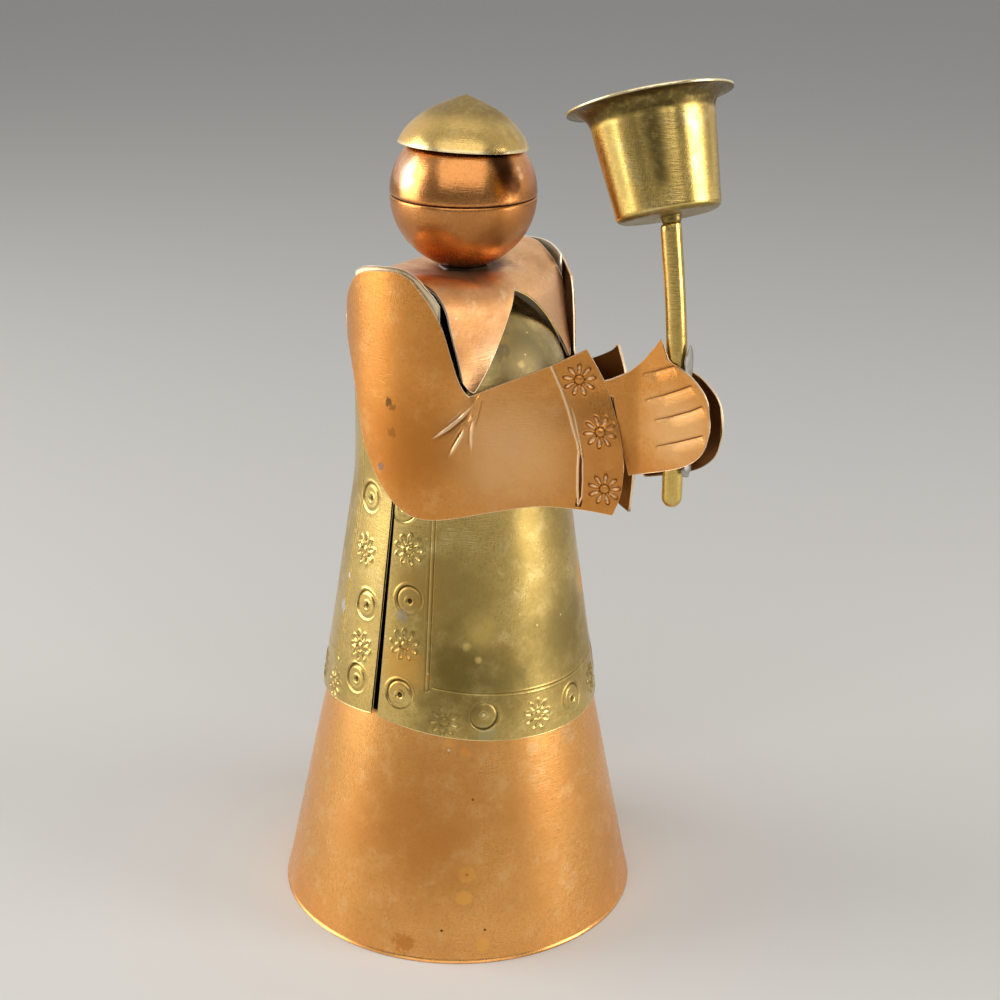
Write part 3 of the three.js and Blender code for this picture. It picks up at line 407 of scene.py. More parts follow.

# stains and patches of painted light and shade: place in millimetres, radius, colour, share at the middle,
# and softness of the rim from 0 to 1
stainsAndPaintedLight = {
    "satinCopper": [
        ((-24.9, 10.9, 121.1), 1.0, (0.05, 0.045, 0.03), 0.95, 0.2),
        ((-24.9, 10.1, 120.1), 0.85, (0.07, 0.06, 0.035), 0.9, 0.2),
        ((-24.9, 10.3, 114.6), 1.1, (0.06, 0.05, 0.03), 0.95, 0.2),
        ((-24.8, 13.2, 106.5), 0.8, (0.22, 0.20, 0.19), 0.85, 0.2),
        # painted highlight on the forearm
        ((-15.1, -12.5, 113.3), 15.0, (0.98, 0.60, 0.27), 0.62, 0.9),
        ((-24.4, 6.0, 112.0), 13.0, (0.52, 0.185, 0.03), 0.8, 0.9),
        ((-7.0, -27.5, 113.0), 8.0, (0.66, 0.28, 0.07), 0.5, 0.8),
        ((-2.5, -44.0, 121.0), 9.0, (0.95, 0.56, 0.24), 0.7, 0.8)],
    "skirtCopper": [
        ((-27.5, -12.0, 19.8), 2.0, (1.0, 0.50, 0.12), 0.95, 0.12),
        ((-27.5, -12.0, 19.8), 0.35, (0.55, 0.17, 0.03), 0.8, 0.1),
        ((-28.7, -12.2, 14.7), 1.75, (1.0, 0.50, 0.12), 0.95, 0.12),
        ((-27.6, -16.6, 4.2), 1.55, (1.0, 0.50, 0.12), 0.9, 0.12),
        ((-23.4, -8.3, 46.7), 0.95, (1.0, 0.42, 0.08), 0.75, 0.2),
        ((-25.1, -5.2, 48.6), 1.2, (0.98, 0.44, 0.09), 0.6, 0.3),
        ((-25.5, -5.4, 46.8), 0.3, (1.0, 0.90, 0.70), 0.95, 0.2),
        ((-19.9, -13.9, 39.0), 3.0, (0.92, 0.52, 0.18), 0.5, 0.6),
        ((-11.4, -17.3, 45.6), 1.5, (0.93, 0.56, 0.24), 0.7, 0.2),
        ((-11.4, -17.3, 45.6), 1.15, (0.80, 0.43, 0.17), 0.75, 0.2),
        ((-36.9, -2.3, 3.6), 2.4, (0.62, 0.22, 0.035), 0.6, 0.3),
        ((-32.7, -9.2, 7.3), 0.32, (0.08, 0.03, 0.01), 0.9, 0.1),
        ((-26.8, -16.5, 7.4), 0.32, (0.08, 0.03, 0.01), 0.9, 0.1),
        ((-24.0, -10.8, 36.2), 0.28, (0.08, 0.03, 0.01), 0.9, 0.1),
        # broad darker zones across the front: partly the copper's patina, partly painted dark reflection
        ((-31.0, -2.0, 30.0), 19.0, (0.58, 0.21, 0.038), 0.62, 0.9),
        ((-16.0, -23.0, 30.0), 15.0, (0.66, 0.28, 0.075), 0.40, 0.9)],
    "collarCopper": [
        ((-6.4, 4.0, 139.4), 1.0, (0.42, 0.40, 0.38), 0.7, 0.4),
        ((-5.0, 3.6, 139.0), 1.1, (0.25, 0.28, 0.33), 0.85, 0.3),
        ((-7.6, 3.6, 138.8), 0.8, (0.40, 0.38, 0.36), 0.7, 0.3),
        ((-1.5, -0.5, 138.0), 4.0, (1.0, 0.60, 0.20), 0.75, 0.7),
        ((-9.0, -1.6, 131.0), 6.0, (0.98, 0.66, 0.42), 0.5, 0.8),
        ((-12.0, 9.0, 146.0), 5.5, (0.40, 0.20, 0.10), 0.7, 0.7),
        ((-6.5, 5.5, 143.2), 5.0, (0.34, 0.22, 0.13), 0.75, 0.7),
        ((7.0, 7.5, 143.5), 5.5, (0.30, 0.17, 0.08), 0.7, 0.7),
        # painted sheen on top of the far shoulder
        ((12.0, 12.0, 147.0), 5.0, (0.72, 0.55, 0.25), 0.6, 0.7),
        ((13.0, 0.5, 136.0), 8.0, (0.72, 0.46, 0.30), 0.55, 0.8)],
    "headCopper": [
        # painted dark reflection down the front of the head
        ((-3.6, -0.8, 168.6), 3.4, (0.055, 0.018, 0.006), 0.96, 0.6),
        ((-4.0, -2.2, 165.8), 3.1, (0.06, 0.020, 0.006), 0.96, 0.6),
        ((-2.7, -3.4, 163.6), 2.5, (0.08, 0.026, 0.008), 0.9, 0.6),
        # two painted orange highlights beside it
        ((0.1, -3.0, 166.8), 0.85, (1.0, 0.56, 0.30), 0.85, 0.6),
        ((0.2, -3.3, 165.2), 0.85, (1.0, 0.56, 0.30), 0.85, 0.6),
        # painted shade at the head's right
        ((4.5, -1.2, 164.5), 4.5, (0.50, 0.20, 0.09), 0.6, 0.6),
        # painted pale reflection at the back of the near side
        ((-13.0, 16.0, 166.0), 3.4, (0.98, 0.74, 0.58), 0.6, 0.8),
        ((-10.2, 5.1, 150.3), 4.6, (1.0, 0.46, 0.15), 0.65, 0.9)],
    "coatBrass": [
        ((-8.9, -5.2, 131.4), 1.9, (0.085, 0.10, 0.10), 0.9, 0.3),
        ((0.5, -9.9, 126.9), 1.5, (0.20, 0.18, 0.18), 0.8, 0.4),
        ((-4.0, -8.5, 127.0), 15.0, (0.245, 0.19, 0.09), 0.92, 0.7),
        ((-7.6, -5.9, 133.4), 1.2, (0.80, 0.55, 0.18), 0.6, 0.6),
        ((-6.0, -9.0, 128.6), 1.2, (0.66, 0.48, 0.18), 0.5, 0.6),
        ((-2.0, -9.8, 131.2), 1.4, (0.60, 0.45, 0.18), 0.5, 0.6),
        # broad dark zones over the front panel: partly the brass's mottled patina, partly painted dark
        # reflection
        (onWall(-57, 26.2, 82.0), 9.5, (0.30, 0.21, 0.06), 0.7, 0.9),
        (onWall(-54, 28.9, 65.0), 10.5, (0.19, 0.135, 0.034), 0.88, 0.9),
        (onWall(-36, 28.8, 61.0), 8.0, (0.22, 0.165, 0.05), 0.7, 0.9),
        (onWall(-44, 27.6, 72.5), 4.0, (0.80, 0.58, 0.16), 0.5, 0.8),
        (onWall(-50, 28.2, 70.0), 1.2, (0.88, 0.66, 0.22), 0.7, 0.6),
        (onWall(-45, 28.6, 67.0), 1.0, (0.88, 0.66, 0.22), 0.7, 0.6),
        # another broad dark zone: partly patina, partly painted dark reflection
        (onWall(0, 28.0, 68.0), 14.0, (0.24, 0.175, 0.055), 0.9, 0.9),
        (onWall(28, 26.4, 76.0), 4.5, (0.86, 0.45, 0.12), 0.8, 0.6),
        (onWall(-76, 28.2, 64.0), 5.5, (0.74, 0.40, 0.09), 0.75, 0.8),
        (onWall(-73, 25.4, 82.0), 7.5, (0.46, 0.28, 0.075), 0.6, 0.8),
        (onWall(-80, 26.9, 75.3), 1.6, (0.34, 0.31, 0.27), 0.6, 0.6),
        (onWall(-42.3, 30.4, 51.0), 2.2, (0.46, 0.40, 0.19), 0.7, 0.3),
        # a smaller dark zone of the same kind: partly patina, partly painted dark reflection
        (onWall(-62, 28.9, 55.0), 6.0, (0.26, 0.19, 0.06), 0.6, 0.9),
        (onWall(-121.2, 27.7, 71.7), 1.5, (0.60, 0.62, 0.68), 0.75, 0.4),
        (onWall(-138.8, 24.7, 85.3), 0.7, (0.9, 0.9, 0.88), 0.8, 0.3),
        (onWall(-118.7, 26.1, 78.9), 0.6, (0.85, 0.85, 0.88), 0.8, 0.3),
        # painted shade in the gap between the collar and the coat at each shoulder
        ((-20.5, 8.0, 138.0), 9.0, (0.02, 0.015, 0.01), 0.95, 0.4),
        ((20.5, 8.0, 138.0), 9.0, (0.02, 0.015, 0.01), 0.95, 0.4)],
    "capBrass": [
        ((-9.9, 9.1, 171.9), 1.25, (0.10, 0.07, 0.03), 0.85, 0.4),
        # painted shade over the right of the cap's crown, and a painted lighter patch on its left
        ((4.0, 2.0, 174.0), 7.0, (0.40, 0.28, 0.09), 0.7, 0.9),
        ((-9.0, 16.0, 172.5), 5.0, (0.80, 0.48, 0.17), 0.5, 0.8)],
    "brightBrass": [
        ((-9.8, -43.8, 177.5), 2.0, (0.78, 0.34, 0.11), 0.7, 0.8),
        ((-9.4, -45.8, 176.5), 1.6, (0.80, 0.36, 0.12), 0.6, 0.8),
        ((-11.8, -40.4, 172.5), 2.0, (0.66, 0.32, 0.10), 0.5, 0.8),
        ((-8.6, -43.0, 163.9), 1.6, (0.85, 0.42, 0.13), 0.7, 0.6)],
}
materials = {}

# noise patterns that all metals share: scale per metre, detail, roughness and stretch
patterns = {"clouds": (55, 6, 0.55), "blotches": (190, 5, 0.6), "grain": (1500, 4, 0.6),
            "ragged": (900, 2, 0.5), "spots": (330, 2, 0.5), "fine": (420, 3, 0.55, (1.0, 1.0, 9.0)),
            "streaks": (700, 2, 0.5, (1.0, 8.0, 1.0))}
flecks = {"scale": 270, "size": 0.075}


def buildMetal(name, look):
    # Base colour: slow patina clouds between dark, base and pale, then tarnish spots, stains, patches of
    # painted light and shade, and flecks, and the marks that the mesh carries: dark grooves and pale ridges,
    # in part painted shade and highlight, grime with painted shade, and the bright cut edge.
    # Roughness follows the clouds and the marks, and fine scratches and grain go to the bump.
    material = bpy.data.materials.new(name)
    material.use_nodes = True
    tree = material.node_tree
    nodes, links = tree.nodes, tree.links
    shader = nodes["Principled BSDF"]
    shader.inputs["Metallic"].default_value = 1.0

    def node(kind, **values):
        made = nodes.new(kind)
        for key, value in values.items():
            setattr(made, key, value)
        return made

    def noise(scale, detail, roughness=0.5, stretch=None):
        made = node("ShaderNodeTexNoise")
        made.inputs["Scale"].default_value = scale
        made.inputs["Detail"].default_value = detail
        made.inputs["Roughness"].default_value = roughness
        source = coordinates.outputs["Object"]
        if stretch:
            mapping = node("ShaderNodeMapping")
            mapping.inputs["Scale"].default_value = stretch
            mapping.inputs["Rotation"].default_value = (0.2, 0.1, 0.4)
            links.new(source, mapping.inputs["Vector"])
            source = mapping.outputs["Vector"]
        links.new(source, made.inputs["Vector"])
        return made.outputs["Fac"]

    def ranged(value, low, high, outLow=0.0, outHigh=1.0):
        made = node("ShaderNodeMapRange", interpolation_type="SMOOTHSTEP")
        for key, number in (("From Min", low), ("From Max", high), ("To Min", outLow), ("To Max", outHigh)):
            made.inputs[key].default_value = number
        links.new(value, made.inputs["Value"])
        return made.outputs["Result"]

    def math2(operation, a, b):
        made = node("ShaderNodeMath", operation=operation)
        for socket, value in zip(made.inputs, (a, b)):
            if isinstance(value, (int, float)):
                socket.default_value = value
            else:
                links.new(value, socket)
        return made.outputs[0]

    def blend(factor, first, second):
        made = node("ShaderNodeMix", data_type="RGBA")
        for socket, value in ((made.inputs[0], factor), (made.inputs[6], first), (made.inputs[7], second)):
            if isinstance(value, (int, float)):
                socket.default_value = value
            elif isinstance(value, tuple):
                socket.default_value = (*value, 1.0)
            else:
                links.new(value, socket)
        return made.outputs[2]

    coordinates = node("ShaderNodeTexCoord")
    clouds, blotches, grain, ragged, spots, fine, streaks = (noise(*pattern) for pattern in patterns.values())
    darkShare = math2("MULTIPLY", ranged(clouds, 0.42, 0.68), look["patina"])
    colour = blend(darkShare, look["base"], look["dark"])
    colour = blend(math2("MULTIPLY", ranged(blotches, 0.52, 0.72), 0.5), colour, look["pale"])
    spotShare = math2("MULTIPLY", ranged(spots, 0.66, 0.74), look["spots"])
    colour = blend(spotShare, colour, look["spotTint"])
    colour = blend(math2("MULTIPLY", ranged(grain, 0.45, 0.72), 0.34), colour, look["dark"])
    cells = node("ShaderNodeTexVoronoi")
    cells.inputs["Scale"].default_value = flecks["scale"]
    links.new(coordinates.outputs["Object"], cells.inputs["Vector"])
    pick = node("ShaderNodeSeparateColor")
    links.new(cells.outputs["Color"], pick.inputs["Color"])
    fleckSize = ranged(pick.outputs["Red"], 0.45, 1.0, 0.0, flecks["size"])
    inFleck = math2("LESS_THAN", cells.outputs["Distance"], fleckSize)
    fleckShare = math2("MULTIPLY", inFleck, look["specks"])
    dull = 0.0
    for center, radius, tint, share, softness in stainsAndPaintedLight.get(name, []):
        distance = node("ShaderNodeVectorMath", operation="DISTANCE")
        links.new(coordinates.outputs["Object"], distance.inputs[0])
        distance.inputs[1].default_value = tuple(c * body["unit"] for c in center)
        size = radius * body["unit"]
        # the rim wanders, but little where the mark is a crisp spot, a painted patch on the head or a broad
        # shade
        crisp = softness < 0.15 or 0.55 < softness < 0.65
        wild = (0.10 if crisp else 0.20 if radius > 7 else 0.45) * size
        wander = ranged(blotches if radius > 3 else ragged, 0.25, 0.75, -wild, wild)
        reach = math2("ADD", distance.outputs["Value"], wander)
        stainAndLightShare = ranged(reach, size * (0.95 - 0.9 * softness), size * (1.05 + 0.3 * softness), share, 0.0)
        colour = blend(stainAndLightShare, colour, tint)
        dull = math2("MAXIMUM", dull, stainAndLightShare)
    colour = blend(fleckShare, colour, look["speckTint"])
    inside = node("ShaderNodeAttribute", attribute_name="inside").outputs["Fac"]
    colour = blend(math2("MULTIPLY", inside, 0.85), colour, look["inside"])
    depth = node("ShaderNodeAttribute", attribute_name="depth").outputs["Fac"]
    colour = blend(ranged(depth, -0.03, -0.22, 0.0, 0.85), colour, look["groove"])
    colour = blend(ranged(depth, 0.04, 0.16, 0.0, 0.75), colour, look["ridge"])
    # grime layer: real soot, solder and tarnish, and also painted shade and shadow
    grimeAndShade = node("ShaderNodeAttribute", attribute_name="grimeAndShade").outputs["Fac"]
    grimeAndShadeShare = math2("MULTIPLY", grimeAndShade, ranged(ragged, 0.2, 0.6, 0.75, 1.0))
    colour = blend(grimeAndShadeShare, colour, look["grimeAndShade"])
    edge = node("ShaderNodeAttribute", attribute_name="edge").outputs["Fac"]
    colour = blend(ranged(edge, 0.25, 0.9), colour, look["edge"])
    links.new(colour, shader.inputs["Base Color"])
    half = look["roughSpread"]
    rough = ranged(clouds, 0.3, 0.7, look["rough"] - half * 0.5, look["rough"] + half)
    rough = math2("ADD", rough, ranged(streaks, 0.35, 0.75, -0.03, 0.05))
    rough = math2("ADD", rough, ranged(depth, -0.03, -0.2, 0.0, 0.2))
    rough = math2("ADD", rough, math2("MULTIPLY", inside, 0.15))
    rough = math2("ADD", rough, math2("MULTIPLY", grimeAndShadeShare, 0.2))
    rough = math2("ADD", rough, math2("MULTIPLY", dull, look.get("dull", 0.08)))
    links.new(rough, shader.inputs["Roughness"])
    scratches = math2("MULTIPLY", ranged(fine, 0.3, 0.7), look["scratch"])
    height = math2("ADD", scratches, math2("MULTIPLY", grain, 0.35))
    bump = node("ShaderNodeBump")
    bump.inputs["Strength"].default_value = 0.16
    bump.inputs["Distance"].default_value = 0.0002
    links.new(height, bump.inputs["Height"])
    links.new(bump.outputs["Normal"], shader.inputs["Normal"])
    return material


for name, look in metals.items():
    materials[name] = buildMetal(name, look)
print("metals mixed:", len(materials))


# skirt

skirt = {"radius": 40.0, "taper": 0.2058, "height": 52.8, "lap": 5.0, "joggle": 3.5, "lapStep": 0.9,
         "wave": 0.10, "waveSize": 34, "calmFoot": 6, "calmLap": 0.2, "rowStep": 1.1}


def skirtRadius(z):
    # a straight cone
    return skirt["radius"] - skirt["taper"] * z


def makeSkirt():
    # A cone sheet wrapped a little more than once round: its radius falls evenly with the height, and it
    # steps inwards over the lap, so that the inner end dives under the outer one.
    lap = skirt["lap"] / skirt["radius"]
    joggle = skirt["joggle"] / skirt["radius"]
    turn = evened(stops((0, lap, 0.01), (lap, lap + joggle, 0.008), (lap + joggle, 2 * np.pi, 0.03),
                        (2 * np.pi, 2 * np.pi + lap, 0.01)))
    z = evened(stops((0, skirt["height"], skirt["rowStep"])))
    t, zz = np.meshgrid(turn, z)
    phi = np.pi - lap / 2 + t
    step = skirt["lapStep"] * (1 - smooth((t - lap) / joggle))
    radius = skirtRadius(zz) - step - 0.01
    calm = (smooth(zz / skirt["calmFoot"]) * smooth((t - lap - joggle) / skirt["calmLap"])
            * smooth((2 * np.pi - t) / skirt["calmLap"]))
    height = (waviness(t * 38, zz, skirt["waveSize"], skirt["wave"], 3) - skirt["wave"]) * calm
    points, faces, layers = sheetShell(roundAxis(radius, phi, zz), height, sheet["copper"])
    points[:, 2] = np.clip(points[:, 2], 0, None)
    piece = meshObject("skirtCone", points, faces, materials["skirtCopper"], layers)
    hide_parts("skirt")


makeSkirt()
print("skirt rolled")


# coat

coat = {"waist": 22.85, "waistHeight": 100.5, "softness": 4.0, "shoulder": 118.0, "frontHem": 48.0,
        "backHem": 49.0, "frontRise": 4.2, "backRise": 3.2, "slitTop": 0.4, "slitHem": 0.85,
        "hemGap": 0.3, "neckHole": 3.3, "hemLine": 10.3, "bandLine": 66.0, "backBandLine": 118.5}

# the panels' grid: its rows follow the hem at first and end at the top row, and its columns are closest
# at the scored lines
coatGrid = {"followHem": 14, "fineTop": 54, "top": 70, "domeRows": 34, "side": 0.0078, "band": 0.005,
            "between": 0.0098}

# the pair of lines scored down each band: their distance, and the round turn that joins them at the foot
score = {"gap": 0.85, "turn": 0.42, "foot": 60.2, "low": 58.6, "top": 117.0, "hemDepth": 0.17}

# painted shadow where the coat is black in the gap under each lapel: a side and a line on the dome, and the
# line's half width
lapelShadow = {"reach": 1.35, "share": 1.3, "lines": [
    (1, [(10.4, -5.9, 137.5), (11.1, -7.3, 136.7), (11.8, -8.8, 135.6), (12.4, -10.4, 134.2),
         (13.0, -12.0, 132.5), (13.4, -13.5, 130.6), (13.7, -15.0, 128.6), (13.8, -16.2, 126.4),
         (13.7, -17.1, 124.6)]),
    (-1, [(10.1, -2.2, 138.4), (11.8, -4.4, 137.1), (13.5, -6.6, 135.3), (14.8, -8.3, 133.4),
          (15.8, -9.8, 131.4), (16.5, -11.1, 129.2), (17.1, -12.2, 127.1), (17.6, -13.4, 124.6)])]}

# stamps on the two panels: kind, angle round the figure, height, turn of the punch, strength
frontStamps = [
    ("circle", -84.2, 98.2, 0.3, 1.0), ("flower", -79.0, 89.4, 0.1, 1.0), ("circle", -77.2, 78.9, 2.2, 1.0),
    ("flower", -78.0, 69.1, 0.25, 1.0), ("circle", -78.9, 58.3, 2.0, 1.0), ("flower", -59.1, 53.5, 0.4, 0.7),
    ("boss", -43.0, 54.7, 5.2, 1.0), ("flower", -19.2, 53.0, 0.8, 0.45), ("circle", 1.3, 53.3, 1.6, 0.9),
    ("flower", 21.5, 53.4, 0.3, 0.9), ("circle", 42.5, 54.3, 2.6, 1.0), ("flower", 59.0, 55.0, 0.6, 0.9),
    ("circle", 78.8, 59.0, 1.1, 1.0), ("flower", 78.3, 69.6, 0.2, 1.0), ("circle", 78.0, 79.8, 2.9, 1.0),
    ("flower", 78.8, 89.8, 0.5, 1.0), ("circle", 79.5, 98.6, 0.2, 1.0)]
backStamps = [
    ("circle", 106.4, 98.6, 2.5, 1.0), ("flower", 106.2, 86.8, 0.2, 1.0), ("circle", 101.7, 75.4, 2.7, 1.0),
    ("flower", 102.2, 65.9, 0.5, 1.0), ("circle", 103.1, 57.6, 2.4, 1.0), ("flower", 119.4, 53.8, 0.3, 1.0),
    ("circle", 136.5, 54.4, 1.2, 1.0), ("flower", 153.0, 53.9, 0.6, 1.0), ("circle", 170.5, 53.8, 0.4, 1.0),
    ("flower", 187.0, 53.6, 0.1, 1.0), ("circle", 204.0, 54.2, 2.0, 1.0), ("flower", 222.5, 54.3, 0.4, 1.0),
    ("flower", 241.1, 54.0, 0.3, 0.55), ("circle", 257.6, 58.4, 2.6, 1.0), ("flower", 257.7, 65.6, 0.5, 1.0),
    ("circle", 258.6, 75.1, 2.7, 1.0), ("flower", 252.9, 86.5, 0.2, 1.0), ("circle", 252.8, 98.0, 2.5, 1.0)]


def flareRise(z):
    # the depth below the waist, with a soft bend at the waist instead of a corner
    below = coat["waistHeight"] - z
    return (np.hypot(below, coat["softness"]) + below) / 2


coatHemRadius = skirtRadius(coat["frontHem"]) + coat["hemGap"] + sheet["brass"]
coatSlope = (coatHemRadius - coat["waist"]) / flareRise(coat["frontHem"])


def coatRadius(z):
    # an upright tube down to the waist, then a cone to the hem
    return coat["waist"] + coatSlope * flareRise(z)


# punches: ring grooves and petals, in millimetres
ringPunch = {"groove": 2.95, "burr": 3.40, "disc": 2.8, "pitOff": 0.3, "pitCollar": 0.90}
flowerPunch = {"scale": 0.88, "petals": 9, "boss": 0.85, "ring": 1.10, "lip": 1.36, "middle": 2.45,
               "half": 0.98}
stampReach = 4.6


def circleStamp(x, y, turn, pitShare=1.0):
    # a ring groove that bites deeper on one side, its burr outside, a low disc inside and a pit with a burr
    r = np.hypot(x, y)
    lean = 0.62 + 0.45 * np.cos(np.arctan2(y, x) - turn)
    groove = lean * bell(r - ringPunch["groove"], 0.20)
    burr = lean * bell(r - ringPunch["burr"], 0.22)
    fromPit = np.hypot(x + ringPunch["pitOff"] * np.cos(turn), y + ringPunch["pitOff"] * np.sin(turn))
    pit, pitBurr = bell(fromPit, 0.46), bell(fromPit - ringPunch["pitCollar"], 0.20)
    disc = 0.14 * smooth((ringPunch["disc"] - r) / 0.6) - 0.06 * bell(r, 1.8)
    height = disc - 0.42 * groove + 0.20 * burr - 0.80 * pitShare * pit + 0.18 * pitBurr
    return height, 0.09 * burr + 0.10 * pitBurr - 0.30 * groove - 0.50 * pitShare * pit


def bossStamp(x, y, turn):
    # the same ring round a raised boss
    return circleStamp(x, y, turn, -0.45)


def flowerStamp(x, y, turn):
    # drop-shaped petals round a boss in a ring: each petal is a shallow dish, painted bright as a highlight,
    # with a painted dark outline
    x, y = x / flowerPunch["scale"], y / flowerPunch["scale"]
    r = np.hypot(x, y)
    ring, boss = bell(r - flowerPunch["ring"], 0.16), smooth((flowerPunch["boss"] - r) / 0.5)
    height = 0.16 * boss - 0.22 * ring + 0.08 * bell(r - flowerPunch["lip"], 0.14)
    tone = 0.03 * boss - 0.16 * ring
    for k in range(flowerPunch["petals"]):
        a = turn + k * 2 * np.pi / flowerPunch["petals"]
        along = x * np.cos(a) + y * np.sin(a)
        across = -x * np.sin(a) + y * np.cos(a)
        width = 0.24 + 0.11 * np.clip(along - 1.4, 0, 2.0)
        petal = np.hypot((along - flowerPunch["middle"]) / flowerPunch["half"], across / width)
        dish, rim = smooth((1.2 - petal) / 0.7), bell(petal - 1.35, 0.28) * (along > 1.2)
        height += 0.20 * rim - 0.30 * dish
        # painted highlight in each dish and painted shade on its raised rim
        tone += 0.12 * dish - 0.17 * rim
    return height, tone


punch = {"circle": circleStamp, "flower": flowerStamp, "boss": bossStamp}


def stampAll(phi, z, stamps):
    # each punch works on the grid points near it, and its height and its tone are added up
    height, tone = np.zeros(phi.shape), np.zeros(phi.shape)
    for kind, angle, high, turn, strength in stamps:
        x = (phi - math.radians(angle)) * coatRadius(high)
        y = z - high
        near = (np.abs(x) < stampReach) & (np.abs(y) < stampReach)
        made = punch[kind](x[near], y[near], turn)
        height[near] += strength * made[0]
        tone[near] += strength * made[1]
    return height, tone


def scored(distance, depth=0.20, width=0.16):
    # a groove at the line and a low burr on both sides of it
    return -depth * bell(distance, width) + 0.4 * depth * bell(np.abs(distance) - 0.36, 0.15)


def coatColumns(left, right):
    # turns across half the figure, closest round the two scored bands
    near, far = math.radians(1.0), math.radians(2.2)
    side, band, between = coatGrid["side"], coatGrid["band"], coatGrid["between"]
    return evened(stops((-np.pi / 2, left - near, side), (left - near, left + far, band),
                        (left + far, right - far, between), (right - far, right + near, band),
                        (right + near, np.pi / 2, side)))


def coatSurface(middle, hem, rise, across):
    # The wall is a flaring half tube from the hem to the shoulder, and the dome closes in to the neck.
    # Returns the turn and height of each grid point, its distance above the hem, and its place.
    hemLine, follow = coat["hemLine"], coatGrid["followHem"]
    up = stops((0, hemLine - 0.7, 0.21), (hemLine - 0.7, hemLine + 0.7, 0.14),
               (hemLine + 0.7, coatGrid["fineTop"], 0.31), (coatGrid["fineTop"], coatGrid["top"], 1.4))
    a, aboveHem = np.meshgrid(across, up)
    hemHere = hem + rise * (1 - np.cos(a))
    stretch = (coat["shoulder"] - hemHere - follow) / (coatGrid["top"] - follow)
    z = np.where(aboveHem < follow, hemHere + aboveHem, hemHere + follow + (aboveHem - follow) * stretch)
    share = np.clip((coat["waistHeight"] - z) / (coat["waistHeight"] - coat["frontHem"]), 0, 1)
    radius = coatRadius(z)
    slit = mix(coat["slitTop"], coat["slitHem"], share)
    phi = middle + a * (1 - np.arcsin(slit / radius) / (np.pi / 2))
    top = float(coatRadius(coat["shoulder"]))
    domeRows = coatGrid["domeRows"] + (1 - len(up) - coatGrid["domeRows"]) % 4
    lifts = np.linspace(0, math.acos(coat["neckHole"] / coat["waist"]), domeRows + 1)[1:]
    a, lift = np.meshgrid(across, lifts)
    domeRadius = top * np.cos(lift)
    domeSlit = np.arcsin(coat["slitTop"] / (domeRadius + coat["slitTop"]))
    domePhi = middle + a * (1 - domeSlit / (np.pi / 2))
    domeZ = coat["shoulder"] + top * np.sin(lift)
    far = np.full(lift.shape, 2.0 * coatGrid["top"])
    return (np.vstack([phi, domePhi]), np.vstack([z, domeZ]), np.vstack([aboveHem, far]),
            np.vstack([roundAxis(radius, phi, z), roundAxis(domeRadius, domePhi, domeZ)]))


def lapelShadowShare(points):
    # painted lapel shadow: full within the reach of one of its lines, by the distance to their straight parts
    near = np.full(len(points), 1e9)
    for side, line in lapelShadow["lines"]:
        for p, q in zip(line[:-1], line[1:]):
            p, q = np.array(p) * [side, 1, 1], np.array(q) * [side, 1, 1]
            t = np.clip((points - p) @ (q - p) / ((q - p) @ (q - p)), 0, 1)
            near = np.minimum(near, np.linalg.norm(points - p - t[:, None] * (q - p), axis=1))
    return lapelShadow["share"] * smooth((lapelShadow["reach"] - near) / 0.35)


def makeCoatPanel(name, node, middle, hem, rise, stamps, band, seed):
    # the panel's surface with its stamps, the pair of lines down each band and the line above the hem
    left, right = math.radians(-band), math.radians(band)
    phi, z, aboveHem, base = coatSurface(middle, hem, rise, coatColumns(left, right))
    height, tone = stampAll(phi, z, stamps)
    stamped = height.copy()
    turn = phi - middle
    inBand = smooth((z - score["foot"] + 0.2) / 0.3) * (z < score["top"])
    atFoot = (z < score["foot"] + 0.05) * (z > score["low"])
    for angle, sign in ((left, -1), (right, 1)):
        away = (turn - angle) * coatRadius(z) * sign
        for shift in (0.0, score["gap"]):
            height += scored(away - shift) * inBand
        fromTurn = np.hypot(away - score["turn"], np.minimum(z - score["foot"], 0))
        height += scored(fromTurn - score["turn"]) * atFoot
    within = smooth((turn - left) * 24) * smooth((right - turn) * 24)
    height += scored(aboveHem - coat["hemLine"], score["hemDepth"]) * within
    slow = waviness(phi * 26, z, 30, 0.10, seed) - 0.05
    tone = tone + 0.8 * (height - stamped)
    points, faces, layers = sheetShell(base, height + slow, sheet["brass"], tone=tone)
    # the coat's dark layer is the painted shadow under the lapels
    layers["grimeAndShade"] = lapelShadowShare(points)
    piece = meshObject(name, points, faces, materials["coatBrass"], layers)
    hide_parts(node)


makeCoatPanel("coatFront", "coat_front", 0.0, coat["frontHem"], coat["frontRise"], frontStamps,
              coat["bandLine"], 11)
makeCoatPanel("coatBack", "coat_back", np.pi, coat["backHem"], coat["backRise"], backStamps,
              180 - coat["backBandLine"], 12)
print("coat panels stamped")


# collar

collar = {"lift": 2.55, "saddle": 3.6, "saddleAcross": 9.0, "saddleAlong": 8.0, "half": 20.2, "flat": 1.7,
          "bend": 10.5, "hang": 12.8, "bulge": 3.3, "backBulge": 5.2, "notch": 11.4, "tip": 29.7,
          "tipOffset": 17.8, "tipRound": 2.6, "backLength": 21.0, "tipTaper": 0.9, "wing": 6.0,
          "plateInner": 23.4, "gap": 0.3, "neckRise": 1.5, "neckReach": 6.5, "nearBow": 1.0, "farBow": -1.5,
          "tipExtra": 1.2, "columns": 129, "rows": 149}
# dents: place across and along the sheet, depth and half width
collarDents = [(-7, 7, 0.35, 3.2), (9, 5, 0.25, 4.0)]
# soot round the neck, partly painted shade under the head
sootAndShade = {"middle": (1.6, -1.0), "reach": 9.8, "fade": 6.0, "share": 0.88, "ragged": 1.6}
collarNeck = coat["shoulder"] + coat["waist"] + collar["lift"]
collarCrest = collarNeck + collar["saddle"]


